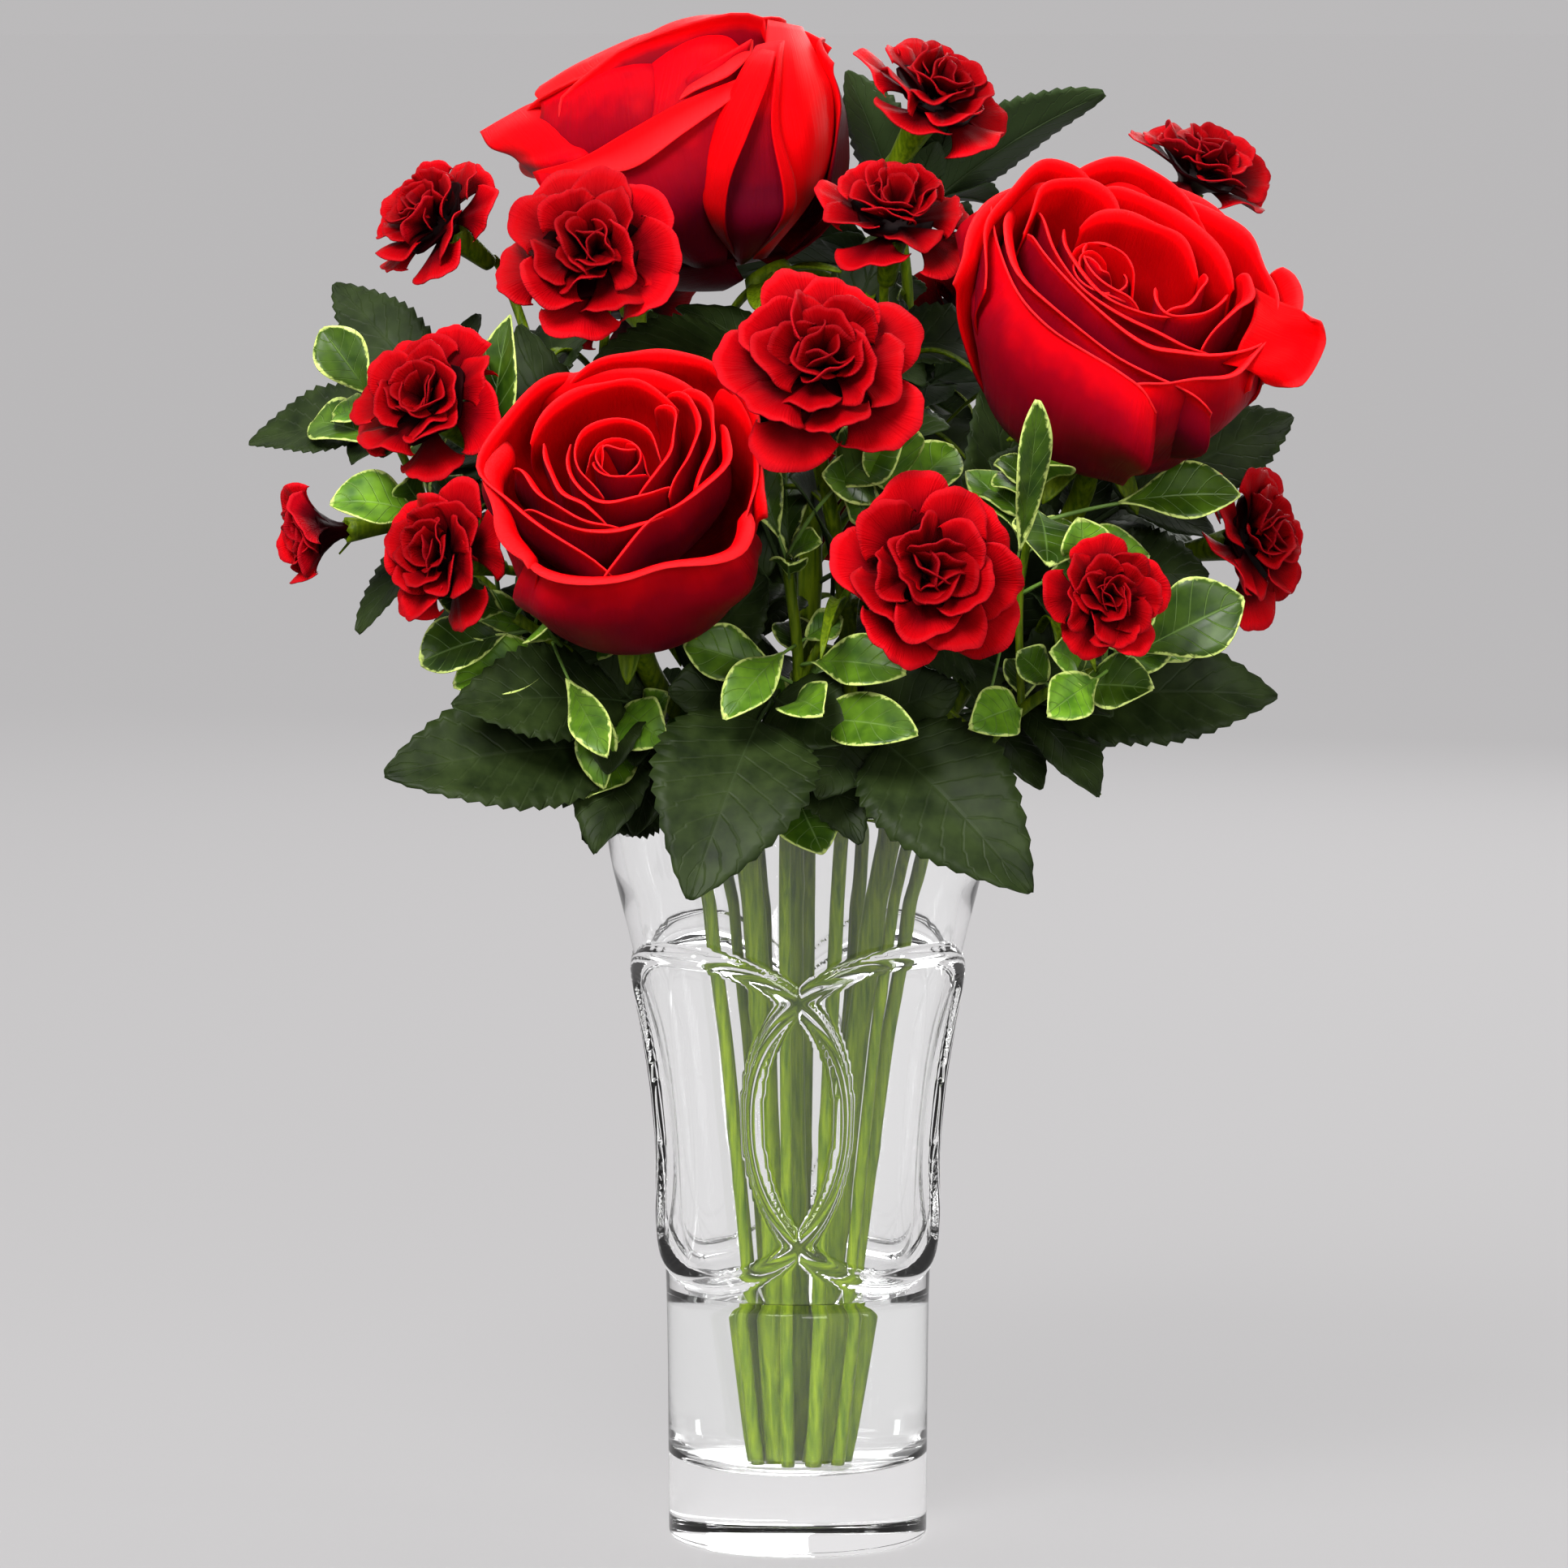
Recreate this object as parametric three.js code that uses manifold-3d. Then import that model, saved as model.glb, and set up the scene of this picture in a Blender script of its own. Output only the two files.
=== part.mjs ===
// Three roses, spray carnations and mixed foliage in a tall flared glass vase.
// Millimetres, +Z up. The origin is the middle of the vase's underside; the front faces -Y.

import * as THREE from "three";
import { mergeVertices } from "three/addons/utils/BufferGeometryUtils.js";
import Module from "manifold-3d";

const wasm = await Module();
wasm.setup();

// Driving dimensions
const VASE_HEIGHT = 200;
const VASE_OUTSIDE = [
  [33, 0], [34.7, 2], [35.6, 75], [40.1, 130], [43.1, 154], [49.7, 182], [51.8, 196],
];
const VASE_INSIDE = [[49.2, 196], [46.6, 182], [40, 154], [30.5, 75], [27.5, 26]];
const VASE_RIM = [[51.9, 198.7], [51, VASE_HEIGHT], [50.2, 199.35]];
const FLOOR_HEIGHT = 20;
const VASE_FLOOR = [[24, FLOOR_HEIGHT + 1.5], [16, FLOOR_HEIGHT]];
const WATER_LEVEL = 67;
const WATER_CLEAR = 0.4;
const ROUND_SIDES = 24;
const GAP = 0.3;
const HOLE_CLEAR = 0.4;
const ROSE_STEM = 3.1;
const SPRAY_STEM = 1.9;
const SPRAY_BRANCH = 1.3;
const LEAFY_STEM = 1.5;
const LEAFY_TWIG = 1.1;
const PETAL_THICKNESS = 0.9;
const FINE_THICKNESS = 0.7;
const MOUTH_LEVEL = 178;
const FOOT_CLEAR = 0.25;
const STEM_STEPS = 7;
const TWIG_STEPS = 4;
const ROSE_STEM_SIDES = 7;
const SPRAY_STEM_SIDES = 6;
const BRANCH_SIDES = 5;
const TWIG_SIDES = 4;

const material = (color, roughness, metalness = 0) =>
  new THREE.MeshStandardMaterial({ color, roughness, metalness });
const ROSE_RED = [0xd40612, 0.55];
const CARNATION_RED = [0xa30713, 0.6];
const STEM_GREEN = [0x5d7a24, 0.5];
const LEAF_DARK = [0x1f3318, 0.45];
const LEAF_EDGED = [0x5f8a35, 0.4];
const GLASS = [0xf2f5f4, 0.05];
const WATER = [0xe6eeee, 0.05];

const vec = ([x, y, z]) => new THREE.Vector3(x, y, z);
const UP = new THREE.Vector3(0, 0, 1);

// Solids: a closed mesh with its corners merged and its faces turned outwards.
function solidOf(geometry) {
  const bare = geometry.clone();
  bare.deleteAttribute("normal");
  bare.deleteAttribute("uv");
  const merged = mergeVertices(bare, 1e-4);
  const place = merged.attributes.position.array;
  const corners = [];
  for (let i = 0; i < merged.index.count; i += 3) {
    const [a, b, c] = merged.index.array.slice(i, i + 3);
    if (a !== b && b !== c && c !== a) corners.push(a, b, c);
  }
  const make = (triVerts) =>
    new wasm.Manifold(new wasm.Mesh({
      numProp: 3, vertProperties: place, triVerts: new Uint32Array(triVerts),
    }));
  const solid = make(corners);
  return solid.volume() < 0 ? make(corners.reverse()) : solid;
}

// The largest body of a solid, with loose scraps dropped and sealed hollows filled.
function oneBody(solid) {
  return solid.decompose().reduce((best, next) => (next.volume() > best.volume() ? next : best));
}

const joined = (solids) => oneBody(solids.reduce((whole, next) => whole.add(next)));

function geometryOf(solid) {
  const mesh = solid.getMesh();
  const geometry = new THREE.BufferGeometry();
  const place = [];
  for (let i = 0; i < mesh.numVert; i += 1) {
    place.push(...mesh.vertProperties.slice(i * mesh.numProp, i * mesh.numProp + 3));
  }
  geometry.setAttribute("position", new THREE.Float32BufferAttribute(place, 3));
  geometry.setIndex(Array.from(mesh.triVerts));
  geometry.computeVertexNormals();
  return geometry;
}

// A thin plate: a sheet of points and triangles, thickened along its normals and closed
// round its edge. Both faces are split alike.
function plate(points, faces, thickness) {
  const normals = points.map(() => new THREE.Vector3());
  const edges = new Set();
  for (const [a, b, c] of faces) {
    const normal = points[b].clone().sub(points[a]).cross(points[c].clone().sub(points[a]));
    for (const k of [a, b, c]) normals[k].add(normal);
    edges.add(`${a},${b}`).add(`${b},${c}`).add(`${c},${a}`);
  }
  const count = points.length;
  const place = [];
  for (const side of [0.5, -0.5]) {
    points.forEach((point, k) => {
      const shift = normals[k].clone().normalize().multiplyScalar(side * thickness);
      place.push(...point.clone().add(shift).toArray());
    });
  }
  const index = [];
  for (const [a, b, c] of faces) {
    index.push(a, b, c, c + count, b + count, a + count);
    for (const [p, q] of [[a, b], [b, c], [c, a]]) {
      if (!edges.has(`${q},${p}`)) index.push(q, p, p + count, q, p + count, q + count);
    }
  }
  const geometry = new THREE.BufferGeometry();
  geometry.setAttribute("position", new THREE.Float32BufferAttribute(place, 3));
  geometry.setIndex(index);
  return solidOf(geometry);
}

// A round stem or twig along a curve.
function tube(path, radius, sides, steps) {
  const outline = [];
  for (let k = 0; k < sides; k += 1) {
    const turn = (2 * Math.PI * k) / sides;
    outline.push(new THREE.Vector2(radius * Math.cos(turn), radius * Math.sin(turn)));
  }
  return solidOf(new THREE.ExtrudeGeometry(new THREE.Shape(outline), { steps, extrudePath: path }));
}

// A point on the axis of the tube along a curve, at a share of the curve's parameter.
function pointOn(path, share, steps) {
  const lengths = path.getLengths(200);
  const run = (lengths[Math.round(share * 200)] / lengths[200]) * steps;
  const stations = path.getSpacedPoints(steps);
  const k = Math.min(steps - 1, Math.floor(run));
  return stations[k].clone().lerp(stations[k + 1], run - k);
}

const curve = (points) => new THREE.CatmullRomCurve3(points, false, "catmullrom", 0.5);

// A body of revolution about Z from [radius, height] pairs that begin and end on the axis.
function turned(profile, sides) {
  const points = profile.map(([radius, height]) => new THREE.Vector2(radius, height));
  return solidOf(new THREE.LatheGeometry(points, sides).rotateX(Math.PI / 2));
}

// A closed shell through rings of points that run round the axis, each zipped to the next by
// azimuth. A ring is a list of [radius, azimuth, height]; the first and last are one point.
function shell(rings, scale) {
  const place = [];
  const index = [];
  let first = 0;
  rings.forEach((ring, r) => {
    for (const [radius, azimuth, height] of ring) {
      place.push(scale * radius * Math.cos(azimuth), scale * radius * Math.sin(azimuth), scale * height);
    }
    if (r > 0) {
      const under = rings[r - 1];
      const start = first - under.length;
      const turnAt = (list, k) =>
        (list.length === 1 ? 9 : list[k % list.length][1] + (k >= list.length ? 2 * Math.PI : 0));
      let i = 0;
      let j = 0;
      const wholeA = under.length === 1 ? 0 : under.length;
      const wholeB = ring.length === 1 ? 0 : ring.length;
      while (i < wholeA || j < wholeB) {
        const a = start + (i % under.length);
        const b = first + (j % ring.length);
        const aNext = start + ((i + 1) % under.length);
        const bNext = first + ((j + 1) % ring.length);
        if (j >= wholeB || (i < wholeA && turnAt(under, i + 1) <= turnAt(ring, j + 1))) {
          index.push(a, aNext, b);
          i += 1;
        } else {
          index.push(a, bNext, b);
          j += 1;
        }
      }
    }
    first += ring.length;
  });
  const geometry = new THREE.BufferGeometry();
  geometry.setAttribute("position", new THREE.Float32BufferAttribute(place, 3));
  geometry.setIndex(index);
  return solidOf(geometry);
}

const ringOf = (count, radius, height) =>
  Array.from({ length: count }, (_, k) => [radius, (2 * Math.PI * k) / count, height]);

// The frame of a bloom: its own Z along the way it faces, its origin at its seat.
function frameOf(seat, faces, roll) {
  const turn = new THREE.Quaternion().setFromUnitVectors(UP, faces);
  turn.multiply(new THREE.Quaternion().setFromAxisAngle(UP, THREE.MathUtils.degToRad(roll)));
  return new THREE.Matrix4().compose(seat, turn, new THREE.Vector3(1, 1, 1));
}

const moved = (solid, frame) => solidOf(geometryOf(solid).applyMatrix4(frame));

// Vase: a thick base, a flared wall, and four raised loops that cross on the body.
const LOOP_COUNT = 4;
const LOOP_HALF_HEIGHT = 44;
const LOOP_MIDDLE = 117;
const LOOP_HALF_ANGLE = THREE.MathUtils.degToRad(63);
const LOOP_FULLNESS = 0.9;
const LOOP_STEPS = 20;
const BAND_RADIUS = 2;
const BAND_SIDES = 4;
const BAND_RISE = 0.8;
const BAND_SUNK = 0.4;

function outerRadius(height) {
  const k = Math.max(1, VASE_OUTSIDE.findIndex(([, level]) => level >= height));
  const [[r0, z0], [r1, z1]] = [VASE_OUTSIDE[k - 1], VASE_OUTSIDE[k]];
  return r0 + ((r1 - r0) * (height - z0)) / (z1 - z0);
}

const filledOut = (x) => Math.sign(x) * Math.abs(x) ** LOOP_FULLNESS;

// A ring bent round the wall: its flat width becomes an angle about the vase.
function loopBand(azimuth) {
  const ring = new THREE.TorusGeometry(LOOP_HALF_HEIGHT, BAND_RADIUS, BAND_SIDES, LOOP_STEPS);
  const place = ring.attributes.position;
  for (let k = 0; k < place.count; k += 1) {
    const height = LOOP_MIDDLE + LOOP_HALF_HEIGHT * filledOut(place.getY(k) / LOOP_HALF_HEIGHT);
    const angle = azimuth + LOOP_HALF_ANGLE * filledOut(place.getX(k) / LOOP_HALF_HEIGHT);
    const radius = outerRadius(height) - BAND_SUNK + BAND_RISE * place.getZ(k);
    place.setXYZ(k, radius * Math.cos(angle), radius * Math.sin(angle), height);
  }
  return solidOf(ring);
}

function vase() {
  const walls = [...VASE_OUTSIDE, ...VASE_RIM, ...VASE_INSIDE, ...VASE_FLOOR];
  let body = turned([[0, 0], ...walls, [0, FLOOR_HEIGHT]], ROUND_SIDES);
  for (let k = 0; k < LOOP_COUNT; k += 1) {
    body = body.add(loopBand(((k + 0.5) * 2 * Math.PI) / LOOP_COUNT));
  }
  return oneBody(body);
}

// Roses: five outer petals round three rolled cups of petals. A profile is a list of
// [radius, height] pairs, for a head 80 mm across.
const OUTER_PETALS = {
  petals: 5, half: 52, along: 3, profile: [[6, 3], [25, 8], [34, 25], [37, 40], [42, 46]],
};
const ROSE_CUPS = [
  { petals: 4, turn: 0.5, outside: [[20, 14], [28, 32], [33, 53]], inside: [[26, 35], [14, 17]] },
  { petals: 3, turn: 0.3, outside: [[16, 24], [19, 42], [22, 56]], inside: [[17, 42], [12, 24]] },
  { petals: 2, turn: 1.2, outside: [[9, 24], [11, 40], [11, 55]], inside: [[8, 40], [5, 26]] },
];
const CUP_COLUMNS = 4;
const CUP_STEP = 1.6;
const CUP_LEAN = 0.4;
const CUP_NOTCH = 4;
const RECEPTACLE = [[7, 0], [9.5, 6]];
const RECEPTACLE_SIDES = 6;
const HEART_DEPTH = 30;
const PETAL_COLUMNS = 4;
const PETAL_SKEW = 2.6;
const PETAL_FOOT = 0.25;
const PETAL_ROUNDING = 0.17;
const ROSE_SPAN = 80;

// One ring of a rolled cup: each petal starts inside the one before and ends outside it.
function cupRing({ petals, turn }, [radius, height], top) {
  const points = [];
  for (let k = 0; k < petals * CUP_COLUMNS; k += 1) {
    const u = ((k % CUP_COLUMNS) / (CUP_COLUMNS - 1)) * 2 - 1;
    const azimuth = turn + (2 * Math.PI * (k + CUP_LEAN * (1 - u))) / (petals * CUP_COLUMNS);
    points.push([radius + CUP_STEP * u, azimuth, height - top * CUP_NOTCH * u * u]);
  }
  return points;
}

function roseHeart(scale) {
  const rings = [[[0, 0, 0]]];
  RECEPTACLE.forEach(([radius, height]) => rings.push(ringOf(RECEPTACLE_SIDES, radius, height)));
  for (const cup of ROSE_CUPS) {
    cup.outside.forEach((at, k) => rings.push(cupRing(cup, at, k === cup.outside.length - 1 ? 1 : 0)));
    const [radius, height] = cup.outside.at(-1);
    rings.push(cupRing(cup, [radius - PETAL_THICKNESS, height], 1));
    cup.inside.forEach((at) => rings.push(cupRing(cup, at, 0)));
  }
  rings.push([[0, 0, HEART_DEPTH]]);
  return shell(rings, scale);
}

function rosePetal(ring, k, scale, reach) {
  const profile = new THREE.SplineCurve(ring.profile.map(([r, z]) => new THREE.Vector2(r, z)));
  const middle = (2 * Math.PI * k) / ring.petals;
  const half = THREE.MathUtils.degToRad(ring.half);
  const points = [];
  const faces = [];
  for (let j = 0; j <= ring.along; j += 1) {
    for (let i = 0; i <= PETAL_COLUMNS; i += 1) {
      const u = (2 * i) / PETAL_COLUMNS - 1;
      const v = (j / ring.along) * (1 - PETAL_ROUNDING * u * u);
      const at = profile.getPoint(v);
      const slope = profile.getTangent(v).multiplyScalar(PETAL_SKEW * u);
      const stretch = 1 + reach * v ** 3 * (1 - u * u);
      const radius = (at.x + slope.y) * stretch;
      const angle = middle + half * u * Math.min(1, PETAL_FOOT + 2 * v);
      const place = [radius * Math.cos(angle), radius * Math.sin(angle), at.y - slope.x];
      points.push(vec(place).multiplyScalar(scale));
    }
  }
  for (let j = 0; j < ring.along; j += 1) {
    for (let i = 0; i < PETAL_COLUMNS; i += 1) {
      const a = j * (PETAL_COLUMNS + 1) + i;
      const c = a + PETAL_COLUMNS + 1;
      faces.push([a, a + 1, c + 1], [a, c + 1, c]);
    }
  }
  return plate(points, faces, PETAL_THICKNESS);
}

function roseHead({ span, reach }) {
  const scale = span / ROSE_SPAN;
  const parts = [roseHeart(scale)];
  for (let k = 0; k < OUTER_PETALS.petals; k += 1) {
    parts.push(rosePetal(OUTER_PETALS, k, scale, reach[k]));
  }
  return joined(parts);
}

// Carnations: two ruffled rings of toothed petals, each ring one sheet notched between its
// petals, round a small core. Sizes are for a head 44 mm across.
const CARNATION_SPAN = 44;
const FRILLS = [
  { petals: 5, tilt: 76, length: 22.5, root: [4.8, 4], edge: [0.6, 0.95, 0.86, 1, 0.86, 0.95] },
  { petals: 4, tilt: 40, length: 18, root: [3.2, 7], edge: [0.6, 1, 0.84, 1] },
];
const FRILL_WAVE = 1.6;
const FRILL_RIPPLE = 2.1;
const HEAD_FOOT = [5, 3.8, 0];
const HEAD_TOP = 13;
const MIDDLE_ABOVE_SEAT = 12;

// The edge of one ring, on its under side or its upper side.
function frillEdge({ petals, tilt, length, root, edge }, open, side) {
  const slope = THREE.MathUtils.degToRad(tilt * open);
  const points = [];
  for (let k = 0; k < petals * edge.length; k += 1) {
    const wave = FRILL_WAVE * Math.sin(FRILL_RIPPLE * k) + (side * FINE_THICKNESS) / 2;
    const reach = length * edge[k % edge.length];
    const radius = root[0] + (reach - root[0]) * Math.sin(slope) - wave * Math.cos(slope);
    const height = root[1] + (reach - root[0]) * Math.cos(slope) + wave * Math.sin(slope);
    points.push([radius, (2 * Math.PI * k) / (petals * edge.length), height]);
  }
  return points;
}

function carnationHead({ span, open = 1 }) {
  const rings = [[[0, 0, 0]], ringOf(...HEAD_FOOT)];
  for (const ring of FRILLS) {
    const [radius, height] = ring.root;
    rings.push(ringOf(ring.petals, radius, height - FINE_THICKNESS));
    rings.push(frillEdge(ring, open, -1), frillEdge(ring, open, 1));
    rings.push(ringOf(ring.petals, radius, height + FINE_THICKNESS));
  }
  rings.push([[0, 0, HEAD_TOP]]);
  return shell(rings, span / CARNATION_SPAN);
}

// Leaves: a blade from a root on its stem to its tip, folded along the midrib and arched, with
// a toothed edge or a plain one.
const DARK_LEAF = { teeth: 3, tooth: 1.3, widest: 0.8, fold: 0.25, arch: 0.1, wave: 0 };
const EDGED_LEAF = { teeth: 2, tooth: 0, widest: 1.5, fold: 0.3, arch: 0.08, wave: 0.8 };
const STALK_HALF = 0.8;
const LEAF_FULLNESS = 0.8;
const TOOTH_AT = 0.8;
const NOTCH = 0.92;

function leafBlade(kind, root, tip, face, width, stalk) {
  const span = tip.clone().sub(root);
  const length = span.length();
  const along = span.clone().normalize();
  const normal = face.clone().addScaledVector(along, -face.dot(along)).normalize();
  const side = normal.clone().cross(along);
  const from = stalk / length;
  const at = (q, half, lift) => {
    const t = from + (1 - from) * q;
    return root.clone().addScaledVector(span, t)
      .addScaledVector(normal, kind.arch * length * 4 * t * (1 - t) + lift)
      .addScaledVector(side, half);
  };
  const halfWidth = (q) => (width / 2) * Math.sin(Math.PI * q ** kind.widest) ** LEAF_FULLNESS;
  const points = [];
  const faces = [];
  const add = (point) => points.push(point) - 1;
  const spine = [];
  for (let k = 0; k <= kind.teeth; k += 1) spine.push(add(at(k / kind.teeth, 0, 0)));
  const foot = add(at(-from / (1 - from), 0, 0));
  for (const way of [1, -1]) {
    const face3 = (a, b, c) => faces.push(way > 0 ? [a, b, c] : [a, c, b]);
    let edge = add(at(0, way * STALK_HALF, 0));
    face3(spine[0], foot, edge);
    for (let k = 0; k < kind.teeth; k += 1) {
      const q = (k + (kind.tooth ? TOOTH_AT : 0.5)) / kind.teeth;
      const half = halfWidth(q) + kind.tooth;
      const wave = kind.wave * (k % 2 ? -way : way);
      const point = add(at(q, way * half, kind.fold * half + wave));
      face3(spine[k], edge, point);
      face3(spine[k], point, spine[k + 1]);
      if (k < kind.teeth - 1) {
        const next = (k + 1) / kind.teeth;
        const low = halfWidth(next) * (kind.tooth ? NOTCH : 1);
        const after = add(at(next, way * low, kind.fold * low - wave));
        face3(spine[k + 1], point, after);
        edge = after;
      }
    }
  }
  return plate(points, faces, FINE_THICKNESS);
}

// Places of the roses: seat of the bloom, the way it faces, and its size.
const ROSES = [
  {
    name: "rose_top", foot: [0.4, 2.6], mouth: [-1.5, 5], through: [[3, 6, 250], [2.5, 4.5, 319]],
    seat: [-9, 10, 341], faces: [-0.46, 0.22, 0.86], roll: 10, span: 90, reach: [0, 0, 0.2, 0, 0],
    leaves: [
      { on: 0.4, tip: [-28, -95, 183], width: 42, stalk: 62, arch: 0.24, teeth: 5 },
      { on: 0.36, tip: [60, -80, 183], width: 38, stalk: 58, arch: 0.26, teeth: 5 },
      { on: 0.34, tip: [2, -64, 194], width: 20, stalk: 44, arch: 0.3 },
      { on: 0.64, tip: [0, -70, 268], width: 27, stalk: 38, arch: 0.16 },
      { on: 0.7, tip: [-62, -28, 318], width: 28, stalk: 16, arch: 0.1 },
      { on: 0.72, tip: [54, -30, 318], width: 28, stalk: 16, arch: 0.1 },
      { on: 0.5, tip: [-62, -26, 270], width: 30, stalk: 18, arch: 0.1 },
    ],
  },
  {
    name: "rose_right", foot: [3.9, -4.4], mouth: [22, -7],
    through: [[46, -13, 235], [72.6, -17.6, 277]],
    seat: [78, -35, 301], faces: [0.18, -0.58, 0.79], roll: 0, span: 88, reach: [0.2, 0, 0, 0, 0],
    leaves: [
      { on: 0.42, tip: [123, -40, 229], width: 32, stalk: 28, arch: 0.1, teeth: 5 },
      { on: 0.68, tip: [135, -10, 302], width: 26, stalk: 28, arch: 0.05 },
      { on: 0.6, tip: [108, -35, 262], width: 28, stalk: 20, arch: 0.08 },
      { on: 0.7, tip: [118, 8, 274], width: 30, stalk: 16, arch: 0.08 },
      { on: 0.5, tip: [22, -66, 250], width: 28, stalk: 22, arch: 0.12 },
    ],
  },
  {
    name: "rose_left", foot: [-3.7, -4.8], mouth: [-12.5, -12],
    through: [[-27, -20, 215], [-40, -36, 239]],
    seat: [-42, -57, 260.5], faces: [-0.06, -0.7, 0.71], roll: 20, span: 78, reach: [0, 0, 0, 0, 0],
    leaves: [
      { on: 0.5, tip: [-114, -40, 212], width: 35, stalk: 24, arch: 0.08, teeth: 5 },
      { on: 0.4, tip: [-80, 20, 214], width: 30, stalk: 20, arch: 0.1 },
      { on: 0.6, tip: [-96, -48, 230], width: 28, stalk: 18, arch: 0.08 },
    ],
  },
];

// The receptacle under a rose, with its five sepals bent back.
const SEPALS = 5;
const SEPAL_ROOT = [7, -5.5];
const SEPAL_TIP = [22, -13.7];
const SEPAL_NARROW = 0.15;
const RECEPTACLE_FOOT = [5, 4, -9];
const RECEPTACLE_TOP = [5, 6, -GAP];

function sepalRing(rise) {
  return Array.from({ length: 3 * SEPALS }, (_, k) => {
    const [radius, height] = k % 3 === 1 ? SEPAL_TIP : SEPAL_ROOT;
    const turn = k + [SEPAL_NARROW, 0, -SEPAL_NARROW][k % 3];
    return [radius, (2 * Math.PI * turn) / (3 * SEPALS), height + rise];
  });
}

function roseCalyx() {
  const [foot, top] = [RECEPTACLE_FOOT, RECEPTACLE_TOP];
  const middle = [sepalRing(0), sepalRing(FINE_THICKNESS)];
  return shell([[[0, 0, foot[2]]], ringOf(...foot), ...middle, ringOf(...top), [[0, 0, top[2]]]], 1);
}

// Carnations: middle of the head, the way it faces and its size, on the branch of a spray.
const SPRAYS = [
  {
    name: "spray_left", foot: [-8.4, -1.2], mouth: [-25, -3],
    through: [[-45, -8, 225], [-65, -14, 265]],
    blooms: [
      { name: "carnation_07", middle: [-99, -45, 310], faces: [-0.45, -0.75, 0.48], span: 44 },
      {
        name: "carnation_04", middle: [-99, -10, 357], faces: [-0.75, -0.3, 0.59],
        span: 40, on: 0.7, via: [[-68, -4, 305]],
      },
      {
        name: "carnation_05", middle: [-54, -58, 349], faces: [-0.1, -0.9, 0.42],
        span: 48, on: 0.6, via: [[-54, -16, 300]],
      },
      {
        name: "carnation_08", middle: [-95, -62, 270], faces: [-0.68, -0.7, 0.2],
        span: 40, on: 0.58, via: [],
      },
      {
        name: "carnation_09", middle: [-128, -20, 272], faces: [-0.95, -0.25, -0.1],
        span: 34, open: 0.4, on: 0.66, via: [[-88, -12, 270]],
      },
    ],
  },
  {
    name: "spray_front", foot: [3.4, -11.2], mouth: [10.5, -24],
    through: [[14, -42, 218], [11, -52, 265]],
    blooms: [
      { name: "carnation_06", middle: [6, -102, 323], faces: [0.05, -0.88, 0.47], span: 52 },
      {
        name: "carnation_10", middle: [34, -102, 268], faces: [0.1, -0.97, 0.2],
        span: 50, on: 0.58, via: [],
      },
    ],
  },
  {
    name: "spray_right", foot: [9.2, -1.6], mouth: [32, 0], through: [[60, -5, 225], [82, -15, 256]],
    blooms: [
      { name: "carnation_12", middle: [123, -32, 272], faces: [0.9, -0.35, 0.2], span: 42 },
      {
        name: "carnation_11", middle: [80, -88, 261], faces: [0.2, -0.95, 0.2],
        span: 32, on: 0.5, via: [[70, -40, 242]],
      },
    ],
  },
  {
    name: "spray_top", foot: [6.7, 4.4], mouth: [17, 11], through: [[22, 14, 250], [24, 20, 320]],
    blooms: [
      { name: "carnation_01", middle: [39, 12, 390], faces: [0.45, -0.45, 0.77], span: 45 },
      {
        name: "carnation_03", middle: [26, -32, 360], faces: [0.1, -0.6, 0.79],
        span: 42, on: 0.62, via: [[24, 0, 308]],
      },
      {
        name: "carnation_02", middle: [110, 25, 370], faces: [0.5, -0.1, 0.86],
        span: 41, on: 0.5, via: [[62, 18, 290]],
      },
    ],
  },
  {
    name: "spray_back", foot: [0.6, 9.4], mouth: [3, 20], through: [[2, 45, 228], [0, 60, 250]],
    blooms: [
      { name: "carnation_14", middle: [0, 100, 275], faces: [0, 0.93, 0.36], span: 44 },
      {
        name: "carnation_13", middle: [-50, 75, 335], faces: [-0.45, 0.65, 0.6],
        span: 42, on: 0.6, via: [[-20, 48, 280]],
      },
      {
        name: "carnation_15", middle: [50, 80, 325], faces: [0.5, 0.7, 0.5],
        span: 42, on: 0.6, via: [[18, 50, 280]],
      },
    ],
  },
];
const CALYX = { top: 4.3, bottom: 2.7, height: 16, sides: 6 };
const CALYX_DEPTH = 0.7;
const STRAIGHT_NECK = 6;
const STEM_INTO_ROSE = 4;

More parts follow.
